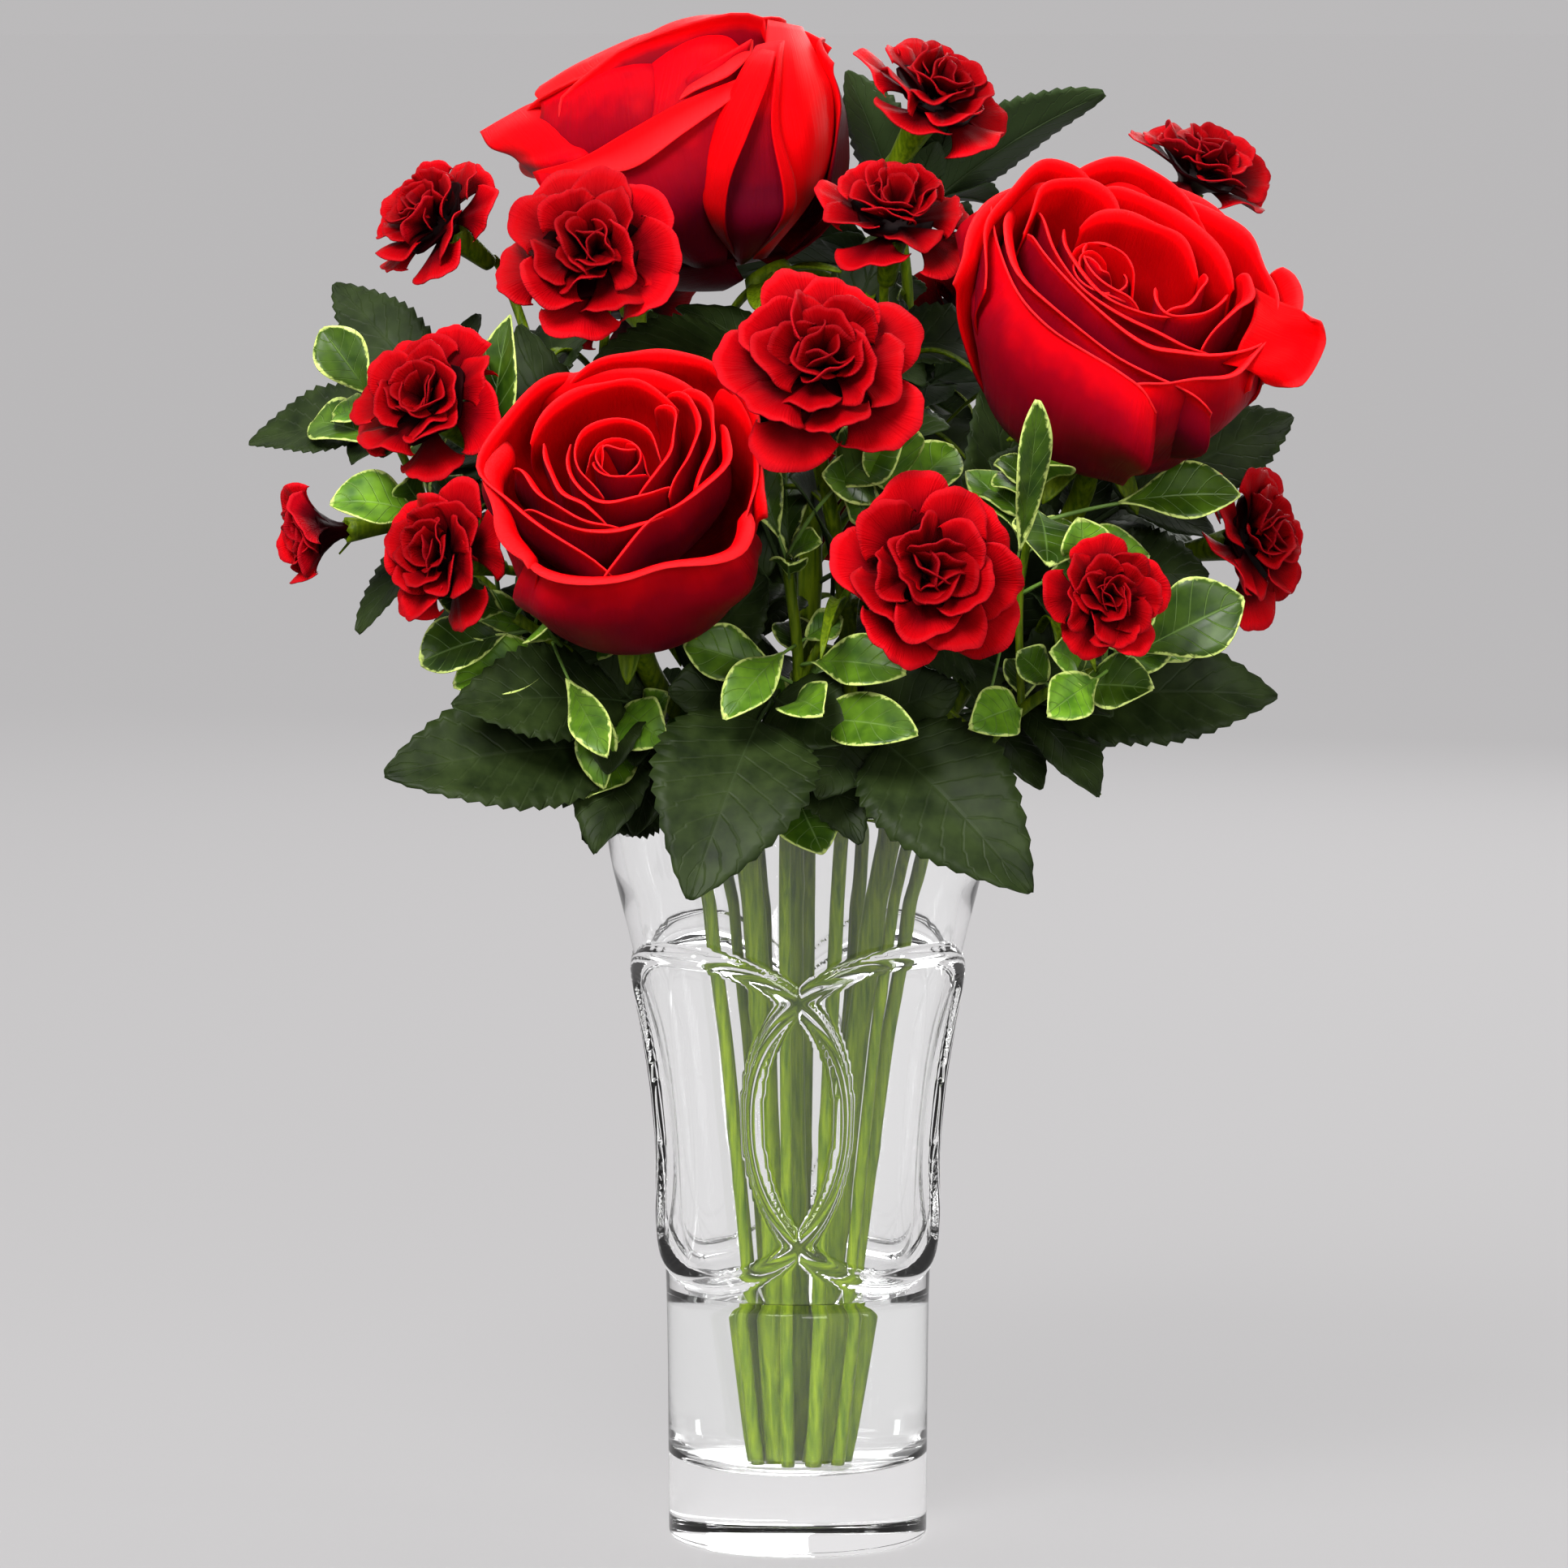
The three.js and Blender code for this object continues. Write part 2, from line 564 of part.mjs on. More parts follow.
// Foliage: dark toothed leaves, and smaller rounded leaves with a pale edge.
const FOLIAGE = [
  {
    name: "foliage_left", kind: DARK_LEAF, foot: [-5.8, 3.9], mouth: [-19, 10],
    through: [[-45, 12, 235], [-75, 8, 285], [-95, 6, 300]], twigs: [],
    leaves: [
      { on: 1, tip: [-147, 10, 294], width: 26, stalk: 12, arch: 0.06 },
      { on: 0.9, tip: [-125, 32, 336], width: 20, stalk: 12, arch: 0.06 },
      { on: 0.72, tip: [-112, -20, 245], width: 20, stalk: 14, arch: 0.1 },
      { on: 0.5, tip: [-100, 55, 240], width: 32, stalk: 16, arch: 0.1 },
      { on: 0.75, tip: [-85, 62, 300], width: 28, stalk: 14, arch: 0.1 },
      { on: 0.36, tip: [-62, 78, 205], width: 34, stalk: 24, arch: 0.16 },
      { on: 0.8, tip: [-52, 20, 330], width: 26, stalk: 12, arch: 0.1 },
    ],
  },
  {
    name: "foliage_back", kind: DARK_LEAF, foot: [6, 10.4], mouth: [17, 25],
    through: [[30, 38, 250], [30, 36, 325], [28, 32, 350]], twigs: [],
    leaves: [
      { on: 1, tip: [83, 40, 387], width: 28, stalk: 14, arch: 0.06 },
      { on: 0.96, tip: [13, 44, 393], width: 25, stalk: 8, arch: 0.05 },
      { on: 0.42, tip: [52, 98, 222], width: 36, stalk: 20, arch: 0.16 },
      { on: 0.3, tip: [-2, 92, 202], width: 34, stalk: 30, arch: 0.2 },
      { on: 0.36, tip: [98, 42, 216], width: 36, stalk: 28, arch: 0.14 },
      { on: 0.68, tip: [86, 78, 296], width: 32, stalk: 18, arch: 0.1 },
      { on: 0.8, tip: [-18, 82, 336], width: 28, stalk: 16, arch: 0.1 },
    ],
  },
  {
    name: "sprig_left", kind: EDGED_LEAF, foot: [-8.6, -7.6], mouth: [-24, -15],
    through: [[-38, -26, 215], [-58, -38, 240], [-74, -44, 252]],
    twigs: [{ on: 0.62, through: [[-66, -28, 246], [-92, -26, 270], [-110, -14, 304]] }],
    leaves: [
      { on: 0.72, tip: [-83, -60, 234], width: 18, stalk: 6 },
      { on: 0.92, tip: [-99, -45, 240], width: 18, stalk: 7 },
      { on: 1, tip: [-92, -50, 262], width: 14, stalk: 4 },
      { on: 0.66, tip: [-50, -62, 218], width: 11, stalk: 5 },
      { on: 0.5, tip: [-56, -50, 211], width: 13, stalk: 6 },
      { on: 0.55, tip: [-70, -14, 222], width: 14, stalk: 5 },
      { twig: 0, on: 0.7, tip: [-123, -35, 281], width: 18, stalk: 7 },
      { twig: 0, on: 1, tip: [-126, -12, 326], width: 14, stalk: 5 },
      { twig: 0, on: 0.9, tip: [-124, 12, 300], width: 14, stalk: 5 },
      { twig: 0, on: 0.5, tip: [-75, -40, 331], width: 15, stalk: 22 },
      { twig: 0, on: 0.75, tip: [-100, 10, 305], width: 13, stalk: 5 },
      { twig: 0, on: 0.3, tip: [-90, -44, 250], width: 16, stalk: 5 },
      { on: 0.8, tip: [-62, -66, 226], width: 16, stalk: 6 },
      { on: 0.6, tip: [-34, -58, 226], width: 15, stalk: 6 },
    ],
  },
  {
    name: "sprig_front", kind: EDGED_LEAF, foot: [-2.2, -11.4], mouth: [-3.5, -25],
    through: [[-2, -40, 212], [0, -52, 240], [-3, -56, 268]],
    twigs: [{ on: 0.7, through: [[14, -58, 262], [24, -58, 282]] }],
    leaves: [
      { on: 0.8, tip: [-19, -78, 228], width: 12, stalk: 8 },
      { on: 0.62, tip: [-1, -82, 230], width: 14, stalk: 8 },
      { on: 0.6, tip: [31, -80, 225], width: 15, stalk: 8 },
      { on: 0.45, tip: [8, -66, 204], width: 16, stalk: 6 },
      { twig: 0, on: 0.95, tip: [6, -74, 291], width: 15, stalk: 5 },
      { twig: 0, on: 1, tip: [20, -72, 306], width: 18, stalk: 4 },
      { twig: 0, on: 0.9, tip: [46, -68, 262], width: 13, stalk: 5 },
      { on: 1, tip: [-22, -54, 296], width: 13, stalk: 6 },
      { on: 0.95, tip: [-3, -48, 300], width: 13, stalk: 6 },
      { on: 0.7, tip: [-30, -58, 246], width: 15, stalk: 6 },
      { on: 0.75, tip: [28, -72, 240], width: 15, stalk: 6 },
      { twig: 0, on: 0.8, tip: [46, -52, 296], width: 15, stalk: 5 },
    ],
  },
  {
    name: "sprig_right", kind: EDGED_LEAF, foot: [8.6, -8.6], mouth: [26, -20],
    through: [[45, -38, 212], [62, -52, 231], [84, -54, 241]],
    twigs: [{ on: 0.7, through: [[58, -46, 258], [62, -52, 284]] }],
    leaves: [
      { on: 1, tip: [116, -60, 258], width: 21, stalk: 5 },
      { on: 0.8, tip: [92, -68, 235], width: 16, stalk: 6 },
      { on: 0.95, tip: [70, -66, 274], width: 13, stalk: 10 },
      { on: 0.7, tip: [44, -72, 226], width: 14, stalk: 5 },
      { twig: 0, on: 1, tip: [61, -79, 308], width: 14, stalk: 5 },
      { twig: 0, on: 0.95, tip: [64, -78, 268], width: 19, stalk: 5 },
      { twig: 0, on: 0.85, tip: [112, -58, 296], width: 17, stalk: 24 },
      { twig: 0, on: 0.7, tip: [44, -40, 290], width: 13, stalk: 5 },
      { on: 0.9, tip: [104, -30, 246], width: 14, stalk: 5 },
      { on: 0.85, tip: [70, -74, 246], width: 16, stalk: 5 },
      { twig: 0, on: 0.5, tip: [92, -40, 268], width: 17, stalk: 6 },
    ],
  },
  {
    name: "sprig_back", kind: EDGED_LEAF, foot: [-4.6, 9.8], mouth: [-10, 22],
    through: [[-26, 44, 225], [-48, 62, 258], [-64, 62, 284]],
    twigs: [{ on: 0.5, through: [[0, 66, 262], [22, 72, 292], [28, 72, 318]] }],
    leaves: [
      { on: 1, tip: [-92, 72, 300], width: 17, stalk: 5 },
      { on: 0.9, tip: [-84, 42, 270], width: 15, stalk: 5 },
      { on: 0.85, tip: [-70, 92, 264], width: 16, stalk: 5 },
      { on: 0.75, tip: [-36, 92, 246], width: 16, stalk: 5 },
      { on: 0.6, tip: [-64, 66, 224], width: 16, stalk: 5 },
      { twig: 0, on: 0.55, tip: [34, 98, 268], width: 16, stalk: 5 },
      { twig: 0, on: 0.7, tip: [-10, 88, 306], width: 15, stalk: 5 },
      { twig: 0, on: 0.85, tip: [50, 60, 300], width: 15, stalk: 5 },
      { twig: 0, on: 1, tip: [16, 88, 346], width: 15, stalk: 5 },
      { twig: 0, on: 0.4, tip: [26, 78, 240], width: 15, stalk: 5 },
    ],
  },
];

// A leaf that would touch a neighbour is bent a little, as in a real bunch: these turns
// [sideways, up, share of its length] are tried in order and the first that is clear holds.
const BENDS = [[0, 0, 1]];
for (const share of [1, 0.8]) {
  for (const turn of [12, 24, 38, 54]) {
    for (const [sideways, up] of [[1, 0], [-1, 0], [0, 1], [0, -1], [0.7, 0.7], [-0.7, 0.7]]) {
      BENDS.push([sideways * turn, up * turn, share]);
    }
  }
}

// Leaves show their upper face outwards: up, away from the middle, and to the nearer of the
// front and the back.
const BUNCH_MIDDLE = vec([0, 10, 230]);
const BACK_BEGINS = 35;
const LEAN_OUT = 0.8;
const LEAN_UP = 0.7;
function faceOf(root, tip) {
  const out = root.clone().add(tip).multiplyScalar(0.5).sub(BUNCH_MIDDLE).normalize();
  return out.add(vec([0, tip.y > BACK_BEGINS ? LEAN_OUT : -LEAN_OUT, LEAN_UP]));
}

function bentTip(root, tip, [sideways, up, share]) {
  const span = tip.clone().sub(root);
  const across = span.clone().cross(UP).normalize();
  span.applyAxisAngle(across, THREE.MathUtils.degToRad(up));
  span.applyAxisAngle(UP, THREE.MathUtils.degToRad(sideways));
  return root.clone().addScaledVector(span, share);
}

// What already stands in the bunch, by name.
const placed = new Map();

function apart(solid, other) {
  const a = solid.boundingBox();
  const b = other.boundingBox();
  for (let k = 0; k < 3; k += 1) {
    if (a.min[k] > b.max[k] + GAP || b.min[k] > a.max[k] + GAP) return true;
  }
  return solid.minGap(other, GAP) >= GAP * 0.999;
}

// The blade of one leaf in the first bend that is clear, or none.
function clearLeaf(kind, leaf, root, own, earlier) {
  const others = [...placed].filter(([name]) => name !== own).map(([, solid]) => solid);
  for (const bend of BENDS) {
    const tip = bentTip(root, vec(leaf.tip), bend);
    const face = faceOf(root, tip);
    const shape = { ...kind, arch: leaf.arch ?? kind.arch, teeth: leaf.teeth ?? kind.teeth };
    const blade = leafBlade(shape, root, tip, face, leaf.width * bend[2], leaf.stalk * bend[2]);
    if ([...others, ...earlier].every((other) => apart(blade, other))) return blade;
  }
  return null;
}

function withLeaves(name, stem, kind, leaves, paths) {
  const blades = [];
  for (const leaf of leaves) {
    const onTwig = leaf.twig !== undefined;
    const path = paths[onTwig ? leaf.twig + 1 : 0];
    const root = pointOn(path, leaf.on, onTwig ? TWIG_STEPS : STEM_STEPS);
    const blade = clearLeaf(kind, leaf, root, name, blades);
    if (blade) blades.push(blade);
  }
  return joined([stem, ...blades]);
}

// The foot stands clear of the vase's floor although the stem leans.
const footPoint = ([x, y], radius) => vec([x, y, FLOOR_HEIGHT + GAP + radius * FOOT_CLEAR]);

const mainPath = ({ foot, mouth, through }, radius, end) =>
  curve([footPoint(foot, radius), vec([...mouth, MOUTH_LEVEL]), ...through.map(vec), ...end]);

const bunch = new THREE.Group();
function addPiece(name, solid, [color, roughness], frame) {
  const mesh = new THREE.Mesh(geometryOf(solid), material(color, roughness));
  mesh.name = name;
  if (frame) frame.decompose(mesh.position, mesh.quaternion, mesh.scale);
  bunch.add(mesh);
}

const holes = [];
const stems = [];

function addStem(name, path, radius, sides, extras) {
  holes.push(tube(path, radius + HOLE_CLEAR, sides, STEM_STEPS));
  const stem = joined([tube(path, radius, sides, STEM_STEPS), ...extras]);
  placed.set(name, stem);
  return stem;
}

// Roses
for (const rose of ROSES) {
  const seat = vec(rose.seat);
  const faces = vec(rose.faces).normalize();
  const frame = frameOf(seat, faces, rose.roll);
  const head = roseHead(rose);
  placed.set(`${rose.name}_bloom`, moved(head, frame));
  addPiece(`${rose.name}_bloom`, head, ROSE_RED, frame);
  const path = mainPath(rose, ROSE_STEM, [seat.clone().addScaledVector(faces, -STEM_INTO_ROSE)]);
  const extras = [moved(roseCalyx(), frame)];
  const name = `${rose.name}_stem`;
  const stem = addStem(name, path, ROSE_STEM, ROSE_STEM_SIDES, extras);
  stems.push({ name, stem, kind: DARK_LEAF, leaves: rose.leaves, paths: [path], colour: STEM_GREEN });
}

// Sprays of carnations
for (const spray of SPRAYS) {
  const twigs = [];
  let main = null;
  for (const bloom of spray.blooms) {
    const scale = bloom.span / CARNATION_SPAN;
    const faces = vec(bloom.faces).normalize();
    const seat = vec(bloom.middle).addScaledVector(faces, -MIDDLE_ABOVE_SEAT * scale);
    const frame = frameOf(seat, faces, 0);
    const head = carnationHead(bloom);
    placed.set(bloom.name, moved(head, frame));
    addPiece(bloom.name, head, CARNATION_RED, frame);
    const height = CALYX.height * scale;
    const [top, bottom] = [CALYX.top * scale, CALYX.bottom * scale];
    const cup = new THREE.CylinderGeometry(top, bottom, height, CALYX.sides)
      .rotateX(Math.PI / 2).translate(0, 0, -height / 2 - GAP).applyMatrix4(frame);
    twigs.push(solidOf(cup));
    const inCup = seat.clone().addScaledVector(faces, -height * CALYX_DEPTH);
    const below = seat.clone().addScaledVector(faces, -height - STRAIGHT_NECK);
    if (!main) {
      main = mainPath(spray, SPRAY_STEM, [below, inCup]);
    } else {
      const path = curve([pointOn(main, bloom.on, STEM_STEPS), ...bloom.via.map(vec), below, inCup]);
      twigs.push(tube(path, SPRAY_BRANCH, BRANCH_SIDES, TWIG_STEPS));
    }
  }
  const name = `${spray.name}_stem`;
  const stem = addStem(name, main, SPRAY_STEM, SPRAY_STEM_SIDES, twigs);
  stems.push({ name, stem, leaves: [], paths: [main], colour: STEM_GREEN });
}

// Foliage stems
for (const plant of FOLIAGE) {
  const main = mainPath(plant, LEAFY_STEM, []);
  const paths = [main, ...plant.twigs.map(({ on, through }) =>
    curve([pointOn(main, on, STEM_STEPS), ...through.map(vec)]))];
  const twigs = paths.slice(1).map((path) => tube(path, LEAFY_TWIG, TWIG_SIDES, TWIG_STEPS));
  const stem = addStem(plant.name, main, LEAFY_STEM, BRANCH_SIDES, twigs);
  const colour = plant.kind === DARK_LEAF ? LEAF_DARK : LEAF_EDGED;
  stems.push({ name: plant.name, stem, kind: plant.kind, leaves: plant.leaves, paths, colour });
}

// Vase and water
placed.set("vase", vase());
addPiece("vase", placed.get("vase"), GLASS);
const [low, high] = [VASE_INSIDE.at(-1), VASE_INSIDE.at(-2)];
const share = (WATER_LEVEL - low[1]) / (high[1] - low[1]);
const surface = [low[0] + share * (high[0] - low[0]) - WATER_CLEAR, WATER_LEVEL];
const bed = VASE_FLOOR.map(([radius, height]) => [radius - WATER_CLEAR, height + WATER_CLEAR]);
const water = turned([
  [0, WATER_LEVEL], surface, [low[0] - WATER_CLEAR, low[1]], ...bed, [0, FLOOR_HEIGHT + WATER_CLEAR],
], ROUND_SIDES);
addPiece("water", oneBody(holes.reduce((whole, hole) => whole.subtract(hole), water)), WATER);

// Leaves, each bent clear of what stands round it
for (const { name, stem, kind, leaves, paths, colour } of stems) {
  const whole = withLeaves(name, stem, kind, leaves, paths);
  placed.set(name, whole);
  addPiece(name, whole, colour);
}

export default bunch;
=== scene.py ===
# %% [markdown]
# # Roses in a glass vase
# A bunch of cut flowers stands in a tall vase of clear pressed glass: large red roses, small
# carnations, dark toothed leaves and little leaves with a cream edge. This file dresses the
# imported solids. It gives every bloom its full count of petals, every leaf its veins and fine
# teeth, and the glass its true curve.

import bpy
import numpy as np
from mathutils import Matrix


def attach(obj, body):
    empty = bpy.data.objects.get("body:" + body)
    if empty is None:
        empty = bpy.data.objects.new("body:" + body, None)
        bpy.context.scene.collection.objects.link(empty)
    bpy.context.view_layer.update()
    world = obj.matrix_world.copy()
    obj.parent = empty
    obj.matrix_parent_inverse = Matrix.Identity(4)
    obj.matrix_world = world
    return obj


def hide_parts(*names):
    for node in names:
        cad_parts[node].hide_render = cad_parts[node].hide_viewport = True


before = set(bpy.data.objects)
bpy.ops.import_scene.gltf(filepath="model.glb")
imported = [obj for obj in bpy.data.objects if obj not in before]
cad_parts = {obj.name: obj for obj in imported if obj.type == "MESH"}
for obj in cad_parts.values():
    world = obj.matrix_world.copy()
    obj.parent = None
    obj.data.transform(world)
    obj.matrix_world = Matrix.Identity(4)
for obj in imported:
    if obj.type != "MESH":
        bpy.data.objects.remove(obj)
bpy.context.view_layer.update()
MM = 0.001

# %% [markdown]
# The camera comes first, because everything is judged through it. A long lens from two metres
# away, a little above the flowers and looking slightly down, gives the flat, calm perspective
# of a catalogue photograph.

# %% Camera
from mathutils import Vector

CAMERA_AT = Vector((-3.7, -2280.0, 434.0)) * MM
LOOKS_AT = Vector((-3.7, 0.0, 203.6)) * MM
SENSOR = 36.0
FIELD = 0.183

camera_data = bpy.data.cameras.new("camera")
camera_data.sensor_width = SENSOR
camera_data.lens = SENSOR / FIELD
camera_data.clip_end = 100.0
camera = bpy.data.objects.new("camera", camera_data)
camera.location = CAMERA_AT
camera.rotation_euler = (LOOKS_AT - CAMERA_AT).to_track_quat("-Z", "Y").to_euler()
bpy.context.scene.collection.objects.link(camera)
bpy.context.scene.camera = camera
bpy.context.scene.view_settings.view_transform = "Standard"
print("lens:", round(camera_data.lens, 1), "mm")

# %% [markdown]
# Every shape below is a grid of points worked out from two numbers, one along the shape and one
# across it. A petal or a leaf is such a grid, given two faces and a rim so that it is a closed
# thin body. A part is a bundle of points, faces and a few numbers per point that the finishes
# read, and a piece is several parts in one mesh.


# %% Grids and thin sheets
def grid_faces(rows, columns):
    """Four-cornered faces of a grid whose point (j, i) has the number j * columns + i."""
    j, i = np.mgrid[0:rows - 1, 0:columns - 1]
    first = (j * columns + i).ravel()
    return np.stack([first, first + 1, first + 1 + columns, first + columns], axis=1)


def unit(vectors):
    """Each vector divided by its length."""
    return vectors / np.maximum(np.linalg.norm(vectors, axis=-1, keepdims=True), 1e-9)


def thin_sheet(points, thickness, **values):
    """A grid moved half its thickness both ways along its normal, which is the cross product of
    its two slopes, and closed with a rim. Values are numbers per grid point, kept as attributes."""
    rows, columns = points.shape[:2]
    normal = unit(np.cross(np.gradient(points, axis=1), np.gradient(points, axis=0)))
    shift = normal * np.broadcast_to(thickness, (rows, columns))[..., None] / 2
    count = rows * columns
    upper = grid_faces(rows, columns)
    number = np.arange(count).reshape(rows, columns)
    ring = np.concatenate([
        number[0, :-1], number[:-1, -1], number[-1, :0:-1], number[:0:-1, 0],
    ])
    after = np.roll(ring, -1)
    rim = np.stack([after, ring, ring + count, after + count], axis=1)
    both = {name: np.tile(np.broadcast_to(value, (rows, columns)).ravel(), 2)
            for name, value in values.items()}
    both["under"] = np.repeat([0.0, 1.0], count)
    corners = np.concatenate([(points + shift).reshape(-1, 3), (points - shift).reshape(-1, 3)])
    return corners, [upper, upper[:, ::-1] + count, rim], both


print("faces of a grid of 3 by 4 points:", len(grid_faces(3, 4)))

# %% [markdown]
# Stems, cups, the vase and its water are closed skins made of rings. A stem's rings stand
# square to its line, and a turned part's rings lie round the upright axis.


# %% Skins of rings
def close_rings(skin, values):
    """A skin of closed rings, in rows, as a body: each row joins the next, and the two end rows
    are closed by a fan to their mean."""
    rings, sides = skin.shape[:2]
    j, i = np.mgrid[0:rings - 1, 0:sides]
    here, right = (j * sides + i).ravel(), (j * sides + (i + 1) % sides).ravel()
    walls = np.stack([here, right, right + sides, here + sides], axis=1)
    low, high = rings * sides, rings * sides + 1
    k = np.arange(sides)
    first_fan = np.stack([np.full(sides, low), (k + 1) % sides, k], axis=1)
    top = (rings - 1) * sides
    last_fan = np.stack([np.full(sides, high), top + k, top + (k + 1) % sides], axis=1)
    points = np.concatenate([skin.reshape(-1, 3), skin[[0, -1]].mean(axis=1)])
    numbers = {}
    for name, value in values.items():
        rows = np.broadcast_to(value, rings)
        numbers[name] = np.concatenate([np.repeat(rows, sides), rows[[0, -1]]])
    return points, [walls, first_fan, last_fan], numbers


def full_turn(sides):
    """Angles once round, evenly spaced."""
    return np.linspace(0, 2 * np.pi, sides, endpoint=False)


def turned_skin(radius, height, turn):
    """Rings round the upright axis: a radius and a height at each angle of the turn."""
    radius, height, turn = np.broadcast_arrays(radius, height, turn)
    return np.stack([radius * np.cos(turn), radius * np.sin(turn), height], axis=-1)


def closed_tube(centres, radii, sides, **values):
    """A skin round a line: each ring is its centre plus a circle in the plane square to the line.
    Each end is closed by a fan to its middle."""
    centres = np.asarray(centres, float)
    rings = len(centres)
    radii = np.broadcast_to(radii, rings)
    along = unit(np.gradient(centres, axis=0))
    steady = np.eye(3)[np.argmin(np.abs(along).max(axis=0))]
    side = unit(np.cross(along, steady))
    other = np.cross(along, side)
    turn = full_turn(sides)[None, :, None]
    circle = np.cos(turn) * side[:, None] + np.sin(turn) * other[:, None]
    skin = centres[:, None] + radii[:, None, None] * circle
    return close_rings(skin, {"along": np.linspace(0, 1, rings), **values})


print("corners of a tube of 2 rings of 6:", len(closed_tube([(0, 0, 0), (0, 0, 1)], 1.0, 6)[0]))

# %% [markdown]
# A piece is one mesh, so its parts are joined as arrays before Blender sees them. Each part is
# turned inside out first if its faces point inwards. The piece then hides the solids it stands
# for, rides on the root body and takes its finish.


# %% One mesh for a piece
def turned_over(points, faces):
    """Faces in the other order where the body's signed volume, a sum of corner products, is
    negative, so that they point outwards."""
    volume = 0.0
    for group in faces:
        a, b, c = points[group[:, 0]], points[group[:, 1]], points[group[:, 2]]
        volume += np.einsum("ij,ij->", a, np.cross(b, c))
        if group.shape[1] == 4:
            volume += np.einsum("ij,ij->", a, np.cross(c, points[group[:, 3]]))
    return [group[:, ::-1] for group in faces] if volume < 0 else faces


def make_piece(name, parts, material, slot, *nodes):
    """One mesh from several parts, in metres, that stands for the named solids."""
    corners, groups, numbers, start = [], [], {}, 0
    for points, faces, values in parts:
        faces = turned_over(points - points.mean(axis=0), faces)
        groups += [group + start for group in faces]
        for key, value in values.items():
            numbers.setdefault(key, []).append((start, value))
        corners.append(points)
        start += len(points)
    corners = np.concatenate(corners) * MM
    mesh = bpy.data.meshes.new(name)
    mesh.vertices.add(len(corners))
    mesh.vertices.foreach_set("co", corners.astype(np.float32).ravel())
    loops = np.concatenate([group.ravel() for group in groups])
    sizes = np.concatenate([np.full(len(group), group.shape[1]) for group in groups])
    mesh.loops.add(len(loops))
    mesh.loops.foreach_set("vertex_index", loops.astype(np.int32))
    mesh.polygons.add(len(sizes))
    mesh.polygons.foreach_set("loop_start", (np.cumsum(sizes) - sizes).astype(np.int32))
    mesh.polygons.foreach_set("use_smooth", np.ones(len(sizes), bool))
    mesh.update(calc_edges=True)
    for key, rows in numbers.items():
        whole = np.zeros(start, np.float32)
        for first, value in rows:
            whole[first:first + len(value)] = value
        mesh.attributes.new(key, "FLOAT", "POINT").data.foreach_set("value", whole)
    mesh.materials.append(material)
    piece = bpy.data.objects.new(name, mesh)
    bpy.context.scene.collection.objects.link(piece)
    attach(piece, "root")
    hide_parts(*nodes)
    print(name, "triangles:", int((sizes - 2).sum()))


print("a millimetre is", MM, "in a mesh")

# %% [markdown]
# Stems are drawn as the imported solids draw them: a smooth line through a few points, with the
# same weights, so that each finer stem lies inside its solid. A bloom has a frame of its own,
# whose third axis is the way the bloom faces.


# %% Lines and frames
def smooth_line(points, shares, clamped=False):
    """A line through all the points. Between two of them it is a cubic whose slope at each is
    half the step from the point before to the point after. The ghost points beyond the ends
    carry on straight, or repeat the end if clamped."""
    points = np.asarray(points, float)
    before = points[0] if clamped else 2 * points[0] - points[1]
    after = points[-1] if clamped else 2 * points[-1] - points[-2]
    padded = np.vstack([before, points, after])
    place = np.asarray(shares, float) * (len(points) - 1)
    k = np.minimum(place.astype(int), len(points) - 2)
    w = (place - k)[..., None]
    p0, p1, p2, p3 = (padded[k + n] for n in range(4))
    m1, m2 = (p2 - p0) / 2, (p3 - p1) / 2
    return (p1 + m1 * w + (3 * (p2 - p1) - 2 * m1 - m2) * w ** 2
            + (2 * (p1 - p2) + m1 + m2) * w ** 3)


LENGTH_STEPS = 200


def arc_lengths(points):
    """Length along the line at each of a fixed number of even steps of its share."""
    line = smooth_line(points, np.linspace(0, 1, LENGTH_STEPS + 1))
    return np.concatenate([[0], np.cumsum(np.linalg.norm(np.diff(line, axis=0), axis=1))])


def at_length(points, parts):
    """Points of the line at even shares of its length."""
    lengths = arc_lengths(points)
    shares = np.interp(np.asarray(parts) * lengths[-1], lengths,
                       np.linspace(0, 1, LENGTH_STEPS + 1))
    return smooth_line(points, shares)


def seat_on(points, share, steps):
    """Where a leaf or branch leaves a stem: on the solid's straight chords, and on the smooth
    line, at the same share of the length."""
    lengths = arc_lengths(points)
    part = lengths[round(share * LENGTH_STEPS)] / lengths[-1]
    stations = at_length(points, np.linspace(0, 1, steps + 1))
    k = min(steps - 1, int(part * steps))
    w = part * steps - k
    return stations[k] * (1 - w) + stations[k + 1] * w, at_length(points, [part])[0]


def turned_to(faces, roll):
    """Rotation that takes +Z to the way a bloom faces by the shortest turn, after a roll."""
    x, y, z = faces
    across = np.array([[0, 0, x], [0, 0, y], [-x, -y, 0]])
    c, s = np.cos(np.radians(roll)), np.sin(np.radians(roll))
    spin = np.array([[c, -s, 0], [s, c, 0], [0, 0, 1]])
    return (np.eye(3) + across + across @ across / (1 + z)) @ spin


def way_of(flower):
    """The way a flower faces, divided by its length."""
    return np.array(flower["faces"], float) / np.linalg.norm(flower["faces"])


def moved(part, frame_of, seat, scale=1.0):
    """A part scaled, turned and put at a seat."""
    points, faces, values = part
    return points * scale @ frame_of.T + seat, faces, values


print("third axis of a bloom that faces the viewer:", turned_to((0, -1, 0), 0)[:, 2])

